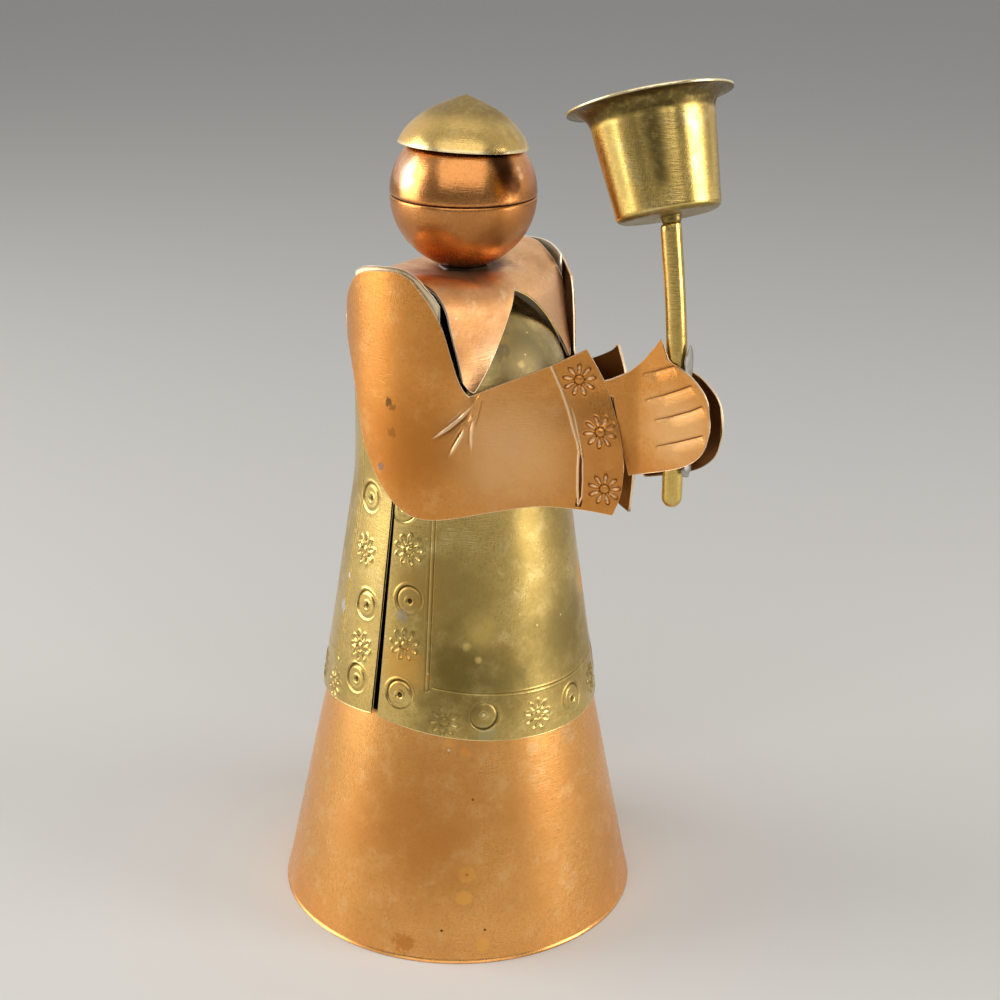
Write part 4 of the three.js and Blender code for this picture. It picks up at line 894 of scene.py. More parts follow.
def makeCollar():
    # a sheet draped over the shoulders: level on top, a round bend, then leaning lapels that bulge forward,
    # and a dip round the neck like a saddle
    across, v = np.meshgrid(np.linspace(-1, 1, collar["columns"]), np.linspace(0, 1, collar["rows"]))
    out = np.abs(across * collar["half"])
    front = np.where(out <= collar["tipOffset"],
                     mix(collar["notch"], collar["tip"], out / collar["tipOffset"]),
                     collar["tip"] - collar["tipRound"]
                     * ((out - collar["tipOffset"]) / (collar["half"] - collar["tipOffset"])) ** 2)
    # hand-cut: the right lapel's front edge bows out, the left one's is hollow, and the tips run on a little
    share = np.clip(out / collar["tipOffset"], 0, 1)
    bow = np.where(across < 0, collar["nearBow"], collar["farBow"])
    front = front + bow * 4 * share * (1 - share) + collar["tipExtra"] * share ** 3
    back = collar["backLength"] - collar["tipRound"] * np.abs(across) ** 6
    q = mix(-back, front, v)
    lean = math.radians(collar["hang"])
    bendLength = collar["bend"] * (np.pi / 2 - lean)
    length = np.abs(q)
    onBend = np.clip(length - collar["flat"], 0, bendLength) / collar["bend"]
    onHang = np.clip(length - collar["flat"] - bendLength, 0, None)
    forward = np.sign(q) * (np.minimum(length, collar["flat"]) + collar["bend"] * np.sin(onBend)
                            + onHang * math.sin(lean))
    drop = collar["bend"] * (1 - np.cos(onBend)) + onHang * math.cos(lean)
    widen = (collar["plateInner"] - collar["gap"] - collar["half"]) * np.exp(-(q / collar["wing"]) ** 2)
    taper = collar["tipTaper"] * smooth((q - 16) / 10)
    x = across * (collar["half"] + widen - taper)
    bulge = (1 - np.abs(across) ** 2.5) * mix(-collar["backBulge"], collar["bulge"], smooth(q / 16 + 0.5))
    y = -(forward + bulge)
    saddle = (x / collar["saddleAcross"]) ** 2 + (y / collar["saddleAlong"]) ** 2
    dip = collar["saddle"] * np.exp(-0.5 * saddle)
    base = np.stack([x, y, collarCrest - drop - dip], -1)
    height = waviness(x, q, 17, 0.13, 8) - 0.08
    height += collar["neckRise"] * bell(np.hypot(x, y), collar["neckReach"])
    for dentX, dentQ, deep, wide in collarDents:
        height -= deep * bell(np.hypot(x - dentX, q - dentQ), wide)
    points, faces, layers = sheetShell(base, height, sheet["copper"], inward=lambda n: -n)
    # soot and flux round the neck, partly painted shade under the head, with a ragged rim
    fromNeck = np.hypot(points[:, 0] - sootAndShade["middle"][0], points[:, 1] - sootAndShade["middle"][1])
    ragged = waviness(points[:, 0], points[:, 1], 5, sootAndShade["ragged"], 9)
    layers["grimeAndShade"] = sootAndShade["share"] * smooth((sootAndShade["reach"] + ragged - fromNeck) / sootAndShade["fade"])
    layers["grimeAndShade"] *= layers["inside"] < 0.5
    piece = meshObject("collarDrape", points, faces, materials["collarCopper"], layers)
    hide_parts("collar")


makeCollar()
print("collar draped")


# arms

arm = {"radius": 24.9, "meet": 44.0, "handPlane": 2.95, "standOff": 0.5, "back": -150.0, "rise": 1.3,
       "flareLength": 22.0, "elbow": 43.4, "corner": 66.9, "foot": 73.2, "reach": 75.2}
# what differs between the two arms; "fall" is the shoulder's edge where it drops towards the elbow
armSides = {
    "right": {"pull": 0.0, "drop": 0.0, "flare": 1.9, "footOn": 0.0, "footDepth": -47.5, "seed": 31,
              "fall": [(31.3, -1.2), (33.2, -3.1), (35.4, -5.8), (38.2, -11), (40, -17), (41.6, -21.8),
                       (43.4, -24.5)]},
    "left": {"pull": 3.7, "drop": 2.0, "flare": 0.4, "footOn": 0.7, "footDepth": -49.2, "seed": 32,
             "fall": [(32.4, -0.4), (36.4, -2.3), (39.2, -4.3), (41, -6.1), (42.3, -11), (42.9, -17),
                      (43.4, -22.3)]}}
armTop = collarCrest + arm["rise"]
armEnd = np.array([-(arm["handPlane"] + arm["standOff"]), -arm["meet"]])
armEndAngle = math.atan2(armEnd[0], -armEnd[1])
armOpen = math.acos(arm["radius"] / np.hypot(*armEnd))
armLeave = armEndAngle - armOpen
armArc = arm["radius"] * (armLeave - math.radians(arm["back"]))
armHeading = np.array([math.cos(armLeave), math.sin(armLeave)])
armLength = armArc + np.hypot(*armEnd) * math.sin(armOpen)


def armPath(s):
    # plan curve of the sheet: an arc that hugs the shoulder, then the straight line that leaves it
    phi = np.minimum(math.radians(arm["back"]) + s / arm["radius"], armLeave)
    out = np.stack([np.sin(phi), -np.cos(phi)], -1)
    return out * arm["radius"] + armHeading * np.maximum(s - armArc, 0)[..., None], out


def facing(out):
    # turns normals to the side to which a direction in plan points
    return lambda normal: normal * np.sign((normal[..., :2] * out).sum(-1))[..., None]


def armOutline(side):
    # the sheet's upper and lower edge: height below the shoulder's top over the length along the sheet
    look = armSides[side]
    pull, fall, footDepth = look["pull"], look["fall"], look["footDepth"]
    corner, reach, foot = arm["corner"] - pull, arm["reach"] - pull, arm["foot"] - pull + look["footOn"]
    cornerDepth = -13.3 - pull * 0.35
    shoulder = smoothLine([(9.3, -13.2), (10.1, -9.4), (12.2, -6.2), (15.6, -3), (20.5, -0.9),
                           (27.8, 0)] + fall)
    forearm = smoothLine([fall[-1], (49.6, -21.6), (60.1, -16.9), (corner, cornerDepth)])
    cuffEnd = smoothLine([(corner, cornerDepth), (reach - 4.7, -19.6), (reach - 2.8, -24.6),
                          (reach - 1, -30.5), (reach, -36.6)])
    lower = smoothLine([(9.3, -14), (10.1, -17.5), (12.7, -21.6), (15.2, -27), (16.8, -33.5), (20, -40.6),
                        (24.6, -46.6), (30.5, -50.9), (37.7, -51.3), (50, -48.6), (58.2, -47),
                        (67.4 - pull, footDepth + 0.6), (foot, footDepth)])
    cuffFoot = smoothLine([(foot, footDepth), (reach - 1.1, footDepth + 2.3), (reach - 0.3, -42),
                           (reach, -37.4)])

    def above(s):
        return np.where(s > corner, cuffEnd(s), np.where(s > arm["elbow"], forearm(s), shoulder(s)))

    def below(s):
        return np.where(s > foot, cuffFoot(s), lower(s))

    return {"top": armTop - look["drop"], "pull": pull, "corner": corner, "reach": reach,
            "flare": look["flare"], "seed": look["seed"], "above": above, "below": below}


# marks on the sleeve and cuff: length along the sheet, then height below the top of the shoulder
sleeveMarks = {
    "flowers": [(65.6, -19.7, 0.2), (70.1, -30.0, 0.5), (71.4, -41.9, 0.1)],
    "cuffLine": [(59.6, -16.4), (60.6, -18.5), (62.0, -21.7), (63.6, -25.9), (64.8, -29.8), (65.6, -32.3),
                 (66.0, -34.6), (65.9, -38.2), (66.0, -42.5), (66.2, -45.6)],
    "cuffSecond": [(63.5, -22.6), (64.3, -25.4), (65.1, -27.9), (66.3, -32.9), (66.8, -36.0), (66.95, -40.3),
                   (66.9, -43.9), (66.2, -45.9)],
    # each crease: its line, half width and height of its ridge, and on which side its dark fold lies
    "creases": [([(44.4, -25.8), (43.4, -27.3), (42.2, -28.7), (40.9, -29.9), (39.6, -31.1), (37.9, -32.4),
                  (35.6, -34.0)], 0.30, 0.42, 1),
                ([(42.8, -26.2), (41.3, -28.4), (40.0, -29.5), (38.1, -31.4)], 0.16, 0.16, 1),
                ([(43.0, -30.6), (42.3, -32.3), (41.5, -33.7), (40.6, -35.5), (39.4, -37.7)], 0.26, 0.38, -1),
                ([(42.7, -29.9), (41.3, -32.3), (40.5, -33.9), (39.6, -36.0)], 0.16, 0.16, 1),
                ([(45.2, -28.4), (44.5, -29.8), (44.2, -31.4), (44.1, -32.9), (44.2, -35.0), (44.3, -36.6)],
                 0.24, 0.26, -1),
                ([(44.4, -28.3), (43.7, -29.6)], 0.2, 0.14, -1)],
    "fold": [(46.2, -25.0), (45.9, -26.7), (45.5, -28.5), (44.9, -30.3), (44.6, -31.9)]}
# the lines between the fingers: distance forward, then height below the top of the shoulder
handMarks = [[(46.5, -17.7), (49.5, -16.6), (52.3, -15.3), (54.1, -14.6)],
             [(47.3, -22.9), (51.6, -21.1), (55.4, -19.2), (58.1, -17.7)],
             [(49.6, -26.6), (53.6, -25.1), (57.7, -23.2), (60.8, -21.4)],
             [(50.2, -32.0), (54.7, -30.3), (58.3, -28.7), (61.2, -27.4)]]


def sleeveHeight(s, depth, outline):
    # punched flowers and the raised line on the cuff, and the creases that fan out from the elbow's bend
    pull = outline["pull"]
    total, tone = np.zeros(s.shape), np.zeros(s.shape)
    for flowerS, flowerDepth, turn in sleeveMarks["flowers"]:
        x, y = s - flowerS + pull, depth - flowerDepth
        near = (np.abs(x) < stampReach) & (np.abs(y) < stampReach)
        height, shade = flowerStamp(x[near], y[near], turn)
        total[near] += 0.8 * height
        # the flowers' painted highlight and shade made stronger: dished parts painted brighter and raised
        # parts darker
        tone[near] += 1.3 * shade - 0.8 * height
    # one raised line runs down the whole cuff; halfway a second one joins it, with a dark slot between them
    first, _ = segmentDistance(s, depth, [(a - pull, b) for a, b in sleeveMarks["cuffLine"]])
    second, along = segmentDistance(s, depth, [(a - pull, b) for a, b in sleeveMarks["cuffSecond"]])
    growing = smooth(along / 0.25)
    total += 0.24 * bell(first, 0.22) + 0.19 * bell(second, 0.18) * growing
    between = np.abs(first) + np.abs(second)
    total -= (0.34 * smooth((1.35 - between) / 0.3) * smooth((np.abs(first) - 0.22) / 0.12)
              * smooth((along - 0.3) / 0.3) * smooth((np.abs(second) - 0.16) / 0.10) * (depth > -46.2))
    for line, half, high, side in sleeveMarks["creases"]:
        d, along = segmentDistance(s, depth, line)
        fade = smooth(along / 0.35) * smooth((1.0 - along) / 0.4) * 0.8 + 0.2 * smooth((1.0 - along) / 0.1)
        width = half * (0.45 + 0.55 * fade)
        total += fade * (high * bell(d, width) - 0.5 * high * bell(d - side * 2.1 * width, width * 1.1))
    d, along = segmentDistance(s, depth, sleeveMarks["fold"])
    total -= 0.14 * bell(d, 0.2) * smooth((1.0 - along) / 0.4)
    # the tone repeats the height: ridges and the raised cuff lines are painted pale as highlights, and the
    # folds and the slot dark as shade
    return total, total + tone


sleeveGrid = {"start": 9.3, "creases": (35, 47.2), "cuff": 58.5, "coarse": 0.7, "fine": 0.17, "finest": 0.16,
              "rows": 249}


def makeSleeve(outline):
    # The arm's sheet without the hand: the curve in plan, moved out by the flare, at all heights between
    # the lower and the upper edge. Its grid is closest over the creases and over the cuff.
    top, pull, corner, reach = (outline[k] for k in ("top", "pull", "corner", "reach"))
    coarse, fine, cuff = sleeveGrid["coarse"], sleeveGrid["fine"], sleeveGrid["cuff"] - pull
    first, last = sleeveGrid["creases"]
    along = evened(stops((sleeveGrid["start"], first, coarse), (first, last, fine), (last, cuff, coarse),
                         (cuff, corner, sleeveGrid["finest"]), (corner, reach, fine)))
    s, v = np.meshgrid(along, np.linspace(0, 1, sleeveGrid["rows"]))
    depth = mix(outline["below"](s), outline["above"](s), v)
    point, out = armPath(s)
    flare = outline["flare"] * smooth((s + pull - armLength + arm["flareLength"]) / arm["flareLength"])
    flare = flare * smooth((-depth - 21) / 12)
    plan = point + out * flare[..., None]
    base = np.concatenate([plan, (top + depth)[..., None]], -1)
    marks, tone = sleeveHeight(s, depth, outline)
    slow = waviness(s, depth, 22, 0.13, outline["seed"]) - 0.07
    # long soft folds run from the elbow's creases into the sleeve
    for line, _, _, _ in sleeveMarks["creases"][:3:2]:
        d, way = segmentDistance(s, depth, line)
        slow = slow - 0.25 * bell(d + 1.8, 1.5) * np.clip(1.1 - way, 0, 1)
    return sheetShell(base, marks + slow, sheet["copper"], tone=tone, inward=facing(out))


# the hand's sheet: distance forward of its root, web, thumb and end, and where it turns along the staff
hand = {"turnRadius": 6.0, "rootWidth": 2.8, "start": 38.6, "web": 41.4, "thumb": 50.4, "fingers": 53.4,
        "slitEnd": 44.6, "end": 62.2, "rows": 149, "thinner": 0.02}
handTurn = np.pi / 2 + armLeave
handTurnStart = arm["meet"] - (hand["turnRadius"] * (1 - math.cos(handTurn))
                               - arm["standOff"]) / math.tan(handTurn)
handWeb = smoothLine([(34.6, -22), (38.3, -20.3), (41.3, -19), (44.2, -17.2), (47, -14.3), (49.2, -11.5),
                      (50.4, -9.8)])
handThumb = smoothLine([(50.4, -9.8), (51.4, -12), (52.3, -13.8), (53.4, -14.4)])
handFingers = smoothLine([(53.4, -14.4), (56.6, -15.6), (59, -17.4), (60.8, -19.4), (61.9, -22.2),
                          (62.2, -25.4)])
handSlit = smoothLine([(41.4, -23.4), (41.8, -25.2), (42.6, -30), (43.6, -35.3), (44.6, -39.3)])
handFoot = smoothLine([(44.6, -39.3), (50.5, -37.4), (55.8, -35.4), (59.1, -33.3), (61.2, -30.6),
                       (62.2, -26.4)])


def handPath(f):
    # plan of the hand's sheet: the forearm's line, then a small arc that turns it along the staff
    radius = hand["turnRadius"]
    back = (arm["meet"] - f) / math.cos(handTurn)
    straight = armEnd - armHeading * back[..., None]
    angle = np.arcsin(np.clip((handTurnStart + radius * math.sin(handTurn) - f) / radius, 0, 1))
    turned = np.stack([-(arm["handPlane"] + radius * (1 - np.cos(angle))), -f], -1)
    before = (f < handTurnStart)[..., None]
    outward = np.where(before, np.array([math.sin(armLeave), -math.cos(armLeave)]),
                       np.stack([-np.cos(angle), -np.sin(angle)], -1))
    return np.where(before, straight, turned), outward


def makeHand(outline):
    # the sheet goes on in the forearm's heading and turns on a small arc to lie along the staff
    top, pull = outline["top"], outline["pull"]
    forward = evened(stops((hand["start"] - pull, hand["web"], 0.5), (hand["web"], hand["thumb"], 0.2),
                           (hand["thumb"], hand["fingers"], 0.18), (hand["fingers"], hand["end"], 0.18)))
    f, v = np.meshgrid(forward, np.linspace(0, 1, hand["rows"]))
    high = np.where(f > hand["thumb"], handThumb(f), handWeb(f))
    high = np.where(f > hand["fingers"], handFingers(f), high)
    root = np.minimum(-22.8, handWeb(f) - hand["rootWidth"])
    low = np.where(f > hand["slitEnd"], handFoot(f), np.where(f > hand["web"], handSlit(f), root))
    depth = mix(low, high, v)
    plan, outward = handPath(f)
    # the root starts below the cuff's face and comes up through it
    sink = mix(-0.10, 0.02, smooth((f - 39.6 + pull) / 1.6))
    plan = plan + outward * sink[..., None]
    base = np.concatenate([plan, (top + depth)[..., None]], -1)
    # each finger line drops steeply under the finger above and comes back slowly over the next one
    height, tone = np.zeros(f.shape), np.zeros(f.shape)
    for line in handMarks:
        d, along = segmentDistance(f, depth, line)
        # the mark starts as a thin line and widens, and it ends just before the fingertip
        opening = smooth((along + 0.02) / 0.45)
        ends = smooth((along + 0.001) / 0.06) * smooth((1.0 - along) / 0.08)
        wide = mix(0.5, 2.3, opening)
        ramp = np.where(d < 0, np.clip(1 + d / wide, 0, 1) ** 1.3, smooth(1 - d / 0.5))
        height -= mix(0.10, 0.30, opening) * ramp * ends
        # painted shade along each line under the finger above, and a painted highlight on the next finger's
        # top below it
        tone -= 0.23 * bell(d - 0.10, mix(0.10, 0.16, opening)) * ends
        tone += 0.07 * opening * ends * bell(d + 0.65, 0.45)
    height += waviness(f, depth, 16, 0.07, 41) - 0.03
    return sheetShell(base, height, sheet["copper"] - hand["thinner"], tone=tone, inward=facing(outward))


outlines = {side: armOutline(side) for side in armSides}
for side, outline in outlines.items():
    shell = joined(makeSleeve(outline), makeHand(outline))
    points, faces, layers = mirroredShell(shell) if side == "left" else shell
    piece = meshObject(side + "ArmSheet", points, faces, materials["satinCopper"], layers)
    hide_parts(side + "_arm")
print("arms bent")


# shoulder plates

plate = {"outer": 24.0, "foot": 106.0, "show": 1.6, "from": 13.5, "to": 37.4, "middle": 27.8,
         "columns": 65, "rows": 61, "wave": 0.08, "waveSize": 14}


def makeShoulderPlate(side, outline):
    # a strip of the tube just inside the sleeve, that follows the sleeve's outline a little outside it
    s, v = np.meshgrid(np.linspace(plate["from"], plate["to"], plate["columns"]),
                       np.linspace(0, 1, plate["rows"]))
    reach = 2 * plate["show"] / (plate["to"] - plate["from"])
    onArm = plate["middle"] + (s - plate["middle"]) * (1 - reach)
    phi = math.radians(arm["back"]) + s / arm["radius"]
    high = outline["top"] + outline["above"](onArm) + plate["show"] * 0.4
    low = np.maximum(outline["top"] + outline["below"](onArm) + plate["show"], plate["foot"])
    base = roundAxis(plate["outer"], phi, mix(low, high, v))
    height = waviness(s, v * 30, plate["waveSize"], plate["wave"], 51) - 0.05
    shell = sheetShell(base, height, sheet["brass"])
    points, faces, layers = mirroredShell(shell) if side == "left" else shell
    piece = meshObject(side + "ShoulderTab", points, faces, materials["plateBrass"], layers)
    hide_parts(side + "_shoulder_plate")


for side, outline in outlines.items():
    makeShoulderPlate(side, outline)
print("shoulder plates cut")


# head and cap

head = {"radius": 15.3, "seam": 0.25, "neckGap": 1.3, "wall": 0.6, "rings": 60, "sides": 144,
        "wave": 0.10, "waveSize": 14, "seamSoot": 0.13, "grimeAndShade": 0.62, "shadeBelow": 4.6, "shadeHalf": 4.2}
headHeight = collarNeck + head["neckGap"] + head["radius"]
cap = {"radius": 13.55, "dome": 9.45, "fullness": 1.75, "steepness": 0.69, "nib": 0.85, "nibRadius": 5.8,
       "seat": 39.3, "leanLeft": 4.0, "leanForward": 0.5, "shift": 0.4, "wall": 0.6, "wave": 0.13,
       "waveSize": 11, "darkCrown": 7.4}


def roundWobble(size, height, seed):
    # slow waves over the surface of a ball, that fade out towards the poles
    def move(r, z, angle):
        x, y = r * np.sin(angle), -r * np.cos(angle)
        lump = waviness(x + 0.6 * z, y - 0.5 * z, size, height, seed) * smooth(r / 3)
        return r + lump - height * 0.5 * smooth(r / 3), z
    return move


def makeBowl(name, node, side, seed):
    # half a ball with a thin wall, its profile a quarter circle outside and inside, rounded at the seam
    gap = math.asin(head["seam"] / 2 / head["radius"])
    a = np.linspace(gap, np.pi / 2, head["rings"])
    lip = np.array([[head["radius"] - inset, z] for inset, z in ((0.55, 0.14), (0.30, 0.125), (0.08, 0.16))])
    outer = np.stack([head["radius"] * np.cos(a[1:]), head["radius"] * np.sin(a[1:])], -1)
    inner = (head["radius"] - head["wall"]) * np.stack([np.cos(a[::-6]), np.sin(a[::-6])], -1)
    inner[0, 0] = outer[-1, 0] = 0
    profile = np.vstack([inner, lip, outer])
    profile[:, 1] *= side
    points, faces = turnedSurface(profile, head["sides"], roundWobble(head["waveSize"], head["wave"], seed))
    z = points[:, 2]
    # the seam a dark line, and the lower half darker with painted shade
    layers = {"edge": np.zeros(len(points)), "depth": -0.30 * np.exp(-np.abs(z) / head["seamSoot"]),
              "grimeAndShade": head["grimeAndShade"] * bell(z + head["shadeBelow"], head["shadeHalf"])}
    points = points + np.array([0, 0, headHeight])
    piece = meshObject(name, points, faces, materials["headCopper"], layers)
    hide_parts(node)


makeBowl("headLowerBowl", "head_lower_bowl", -1, 61)
makeBowl("headUpperBowl", "head_upper_bowl", 1, 62)


def onHead(points):
    # tilts the cap's own upright frame onto its seat on the head
    toLeft, toFront, seat = (math.radians(cap[k]) for k in ("leanLeft", "leanForward", "seat"))
    lean = Vector((math.tan(toLeft), -math.tan(toFront), 1)).normalized()
    turn = np.array(Vector((0, 0, 1)).rotation_difference(lean).to_matrix())
    place = np.array([-cap["shift"], cap["shift"], headHeight])
    return points @ turn.T + np.array(lean) * head["radius"] * math.sin(seat) + place


def capHeight(r, radius, dome):
    # a rounded cone that falls to its rim, with a small point in the middle
    fall = np.clip(1 - (r / radius) ** cap["fullness"], 0, None)
    return dome * fall ** cap["steepness"] + cap["nib"] * np.clip(1 - r / cap["nibRadius"], 0, 1) ** 2


def makeCap():
    # the outer face, the inner face and a narrow lip between them, dark round the crown
    a = np.linspace(0, np.pi / 2, head["rings"])
    ro = cap["radius"] * np.cos(a)
    ri = (cap["radius"] - cap["wall"]) * np.cos(a[::-5])
    ro[-1] = ri[0] = 0
    outer = np.stack([ro, capHeight(ro, cap["radius"], cap["dome"])], -1)
    inner = np.stack([ri, capHeight(ri, cap["radius"] - cap["wall"], cap["dome"] - cap["wall"])], -1)
    lip = np.array([[cap["radius"] - 0.45, 0.02], [cap["radius"] - 0.15, 0.02]])
    outer[0, 1] = inner[-1, 1] = 0.10
    profile = np.vstack([inner, lip, outer])
    points, faces = turnedSurface(profile, head["sides"], roundWobble(cap["waveSize"], cap["wave"], 71))
    fromRim = points[:, 2]
    layers = {"edge": np.zeros(len(points)), "depth": 0.13 * smooth((1.3 - fromRim) / 1.0),
              "grimeAndShade": 0.95 * smooth((fromRim - cap["darkCrown"] + 3.0) / 3.2)}
    piece = meshObject("capShell", onHead(points), faces, materials["capBrass"], layers)
    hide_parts("cap")


makeCap()
print("head and cap spun")


# neck solder

neck = {"inner": 3.3, "outer": 5.2, "lift": 0.9, "room": 0.3, "wideLumps": 0.35, "smallLumps": 0.2,
        "sides": 96, "sootAndShade": 1.25}


def headFoot(r):
    # height of the head's underside at a distance from its axis, with a little room
    return headHeight - np.sqrt(head["radius"] ** 2 - r ** 2) - neck["room"]


def makeNeckSolder():
    # a ring with an oval profile between the collar and the head, whose outside swells and sinks in
    # three and in seven lumps round it
    a = np.linspace(0, 2 * np.pi, 25)
    low, high = collarNeck + neck["lift"], headFoot(neck["outer"])
    r = mix(neck["inner"], neck["outer"], 0.5 - 0.5 * np.cos(a))
    z = 0.5 * (low + high) + 0.5 * (high - low) * np.sin(a)
    profile = np.stack([r, np.minimum(z, headFoot(r) - 0.02)], -1)

    def lumps(radius, height, angle):
        outside = radius > 4
        wide, small = neck["wideLumps"] * np.sin(3 * angle + 0.7), neck["smallLumps"] * np.sin(7 * angle)
        return radius + (wide + small) * outside - neck["smallLumps"], height

    points, faces = turnedSurface(profile, neck["sides"], lumps)
    # whitish where it is clean on the figure's right side, and dark elsewhere: soot, and painted shade for
    # the shadow line under the head
    cleanAndUnshaded = smooth((-points[:, 0] * 0.58 + points[:, 1] * 0.81 - 2.4) / 1.6)
    piece = meshObject("neckSolderRing", points, faces, materials["greySolder"],
                       {"grimeAndShade": neck["sootAndShade"] * (1 - cleanAndUnshaded)})
    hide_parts("neck_solder")


makeNeckSolder()
print("neck soldered")


# staff and cup

staff = {"radius": 2.05, "foot": (53.0, 103.4), "bend": (52.4, 136.0), "topForward": 49.7, "chamfer": 0.4,
         "sides": 48, "rings": 60}
cup = {"footForward": 49.3, "footHeight": 161.9, "leanBack": 19.8, "leanLeft": 9.0, "footRadius": 10.3,
       "throat": 12.05, "flange": 16.2, "height": 22.6, "throatHeight": 18.0, "corner": 1.5, "floor": 0.7,
       "wall": 0.6, "solder": 0.7, "gap": 0.3, "sides": 160}
cupLean = {k: math.tan(math.radians(cup[k])) for k in ("leanLeft", "leanBack")}
cupAxis = Vector((cupLean["leanLeft"], cupLean["leanBack"], 1)).normalized()
staffTop = cup["footHeight"] + ((staff["topForward"] - cup["footForward"]) * cupAxis.y
                                - cup["solder"] - 2 * cup["gap"]) / cupAxis.z


def makeStaff():
    # a round profile carried along a slightly bent line, with a domed foot and a chamfered top
    radius, (footForward, z0), z1 = staff["radius"], staff["foot"], staffTop
    line = smoothLine([(z0, footForward), staff["bend"][::-1], (z1, staff["topForward"])])
    dome = np.linspace(0, np.pi / 2, 12)[1:]
    radii = np.concatenate([radius * np.sin(dome), np.full(staff["rings"], radius),
                            [radius - staff["chamfer"] * 0.3, radius - staff["chamfer"]]])
    heights = np.concatenate([z0 + radius * (1 - np.cos(dome)),
                              np.linspace(z0 + radius + 0.6, z1 - 0.5, staff["rings"]), [z1 - 0.2, z1]])
    angle = np.linspace(0, 2 * np.pi, staff["sides"], endpoint=False)
    forward = line(heights)
    tilt = np.arctan(np.gradient(forward, heights))
    r = radii[:, None] + waviness(heights[:, None], angle[None] * 2, 15, 0.03, 81) * (radii[:, None] > 1)
    # rings stand square to the line, and the last ones are cut parallel to the cup's leaning underside
    c, k = np.cos(tilt)[:, None], np.sin(tilt)[:, None]
    across = np.stack([r * np.sin(angle), -r * np.cos(angle) * c, -r * np.cos(angle) * k], -1)
    tangent = np.stack([0 * c, -k, c], -1)
    axis = np.array(cupAxis)
    slant = -(across @ axis) / (tangent @ axis) * smooth((heights - z1 + 1.6) / 0.6)[:, None]
    across = across + tangent * slant[..., None]
    rings = across + np.stack([0 * heights, -forward, heights], -1)[:, None]
    rings[..., 2] = np.clip(rings[..., 2], z0 + 0.01, None)
    points, faces = closedTube(rings, [0, -footForward, z0], [0, -forward[-1], z1])
    piece = meshObject("staffRod", points, faces, materials["brightBrass"])
    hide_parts("staff")


def onStaff(points):
    # leans the cup's own upright frame back and to the left on the staff's end
    turn = np.array(Vector((0, 0, 1)).rotation_difference(cupAxis).to_matrix())
    return points @ turn.T + np.array([0, -cup["footForward"], cup["footHeight"]])


def cupWall(inset, n=40):
    # rounded foot, a wall that widens a little and a flange that curls out at the mouth
    corner = cup["corner"] - inset * 0.5
    a = np.linspace(0, np.pi / 2, 12)
    foot = np.stack([cup["footRadius"] - inset - corner + corner * np.sin(a),
                     (cup["floor"] if inset else 0) + corner * (1 - np.cos(a))], -1)
    wallT = np.linspace(0, 1, 26)[1:-1]
    t = np.linspace(0, 1, n)
    flareHeight = cup["height"] - cup["wall"] - cup["throatHeight"]
    flare = np.stack([cup["throat"] - inset * (1 - 0.55 * t) + (cup["flange"] - cup["throat"]) * t ** 2.2,
                      cup["throatHeight"] + flareHeight * np.sin(t * np.pi / 2) + inset * t], -1)
    wall = foot[-1] + (flare[0] - foot[-1]) * wallT[:, None]
    return np.vstack([foot, wall, flare])


# tarnish streaks, the first of them, at -60 degrees, a broad dark band that is a painted reflection on the
# side facing the camera: turn from the front towards the figure's left in degrees, half width, foot, top and
# share
cupStreaksAndReflection = [(-60.0, 11.0, 2.0, 20.5, 0.92), (-76.0, 4.0, 4.0, 19.5, 0.5), (-45.0, 3.0, 13.0, 20.5, 0.5),
              (-104.0, 7.0, 1.0, 20.0, 0.6), (-88.0, 3.0, 8.0, 19.5, 0.35), (-2.0, 5.0, 2.0, 20.0, 0.5),
              (40.0, 6.0, 3.0, 17.0, 0.4), (125.0, 7.0, 2.0, 18.0, 0.5), (170.0, 4.0, 6.0, 18.0, 0.4)]


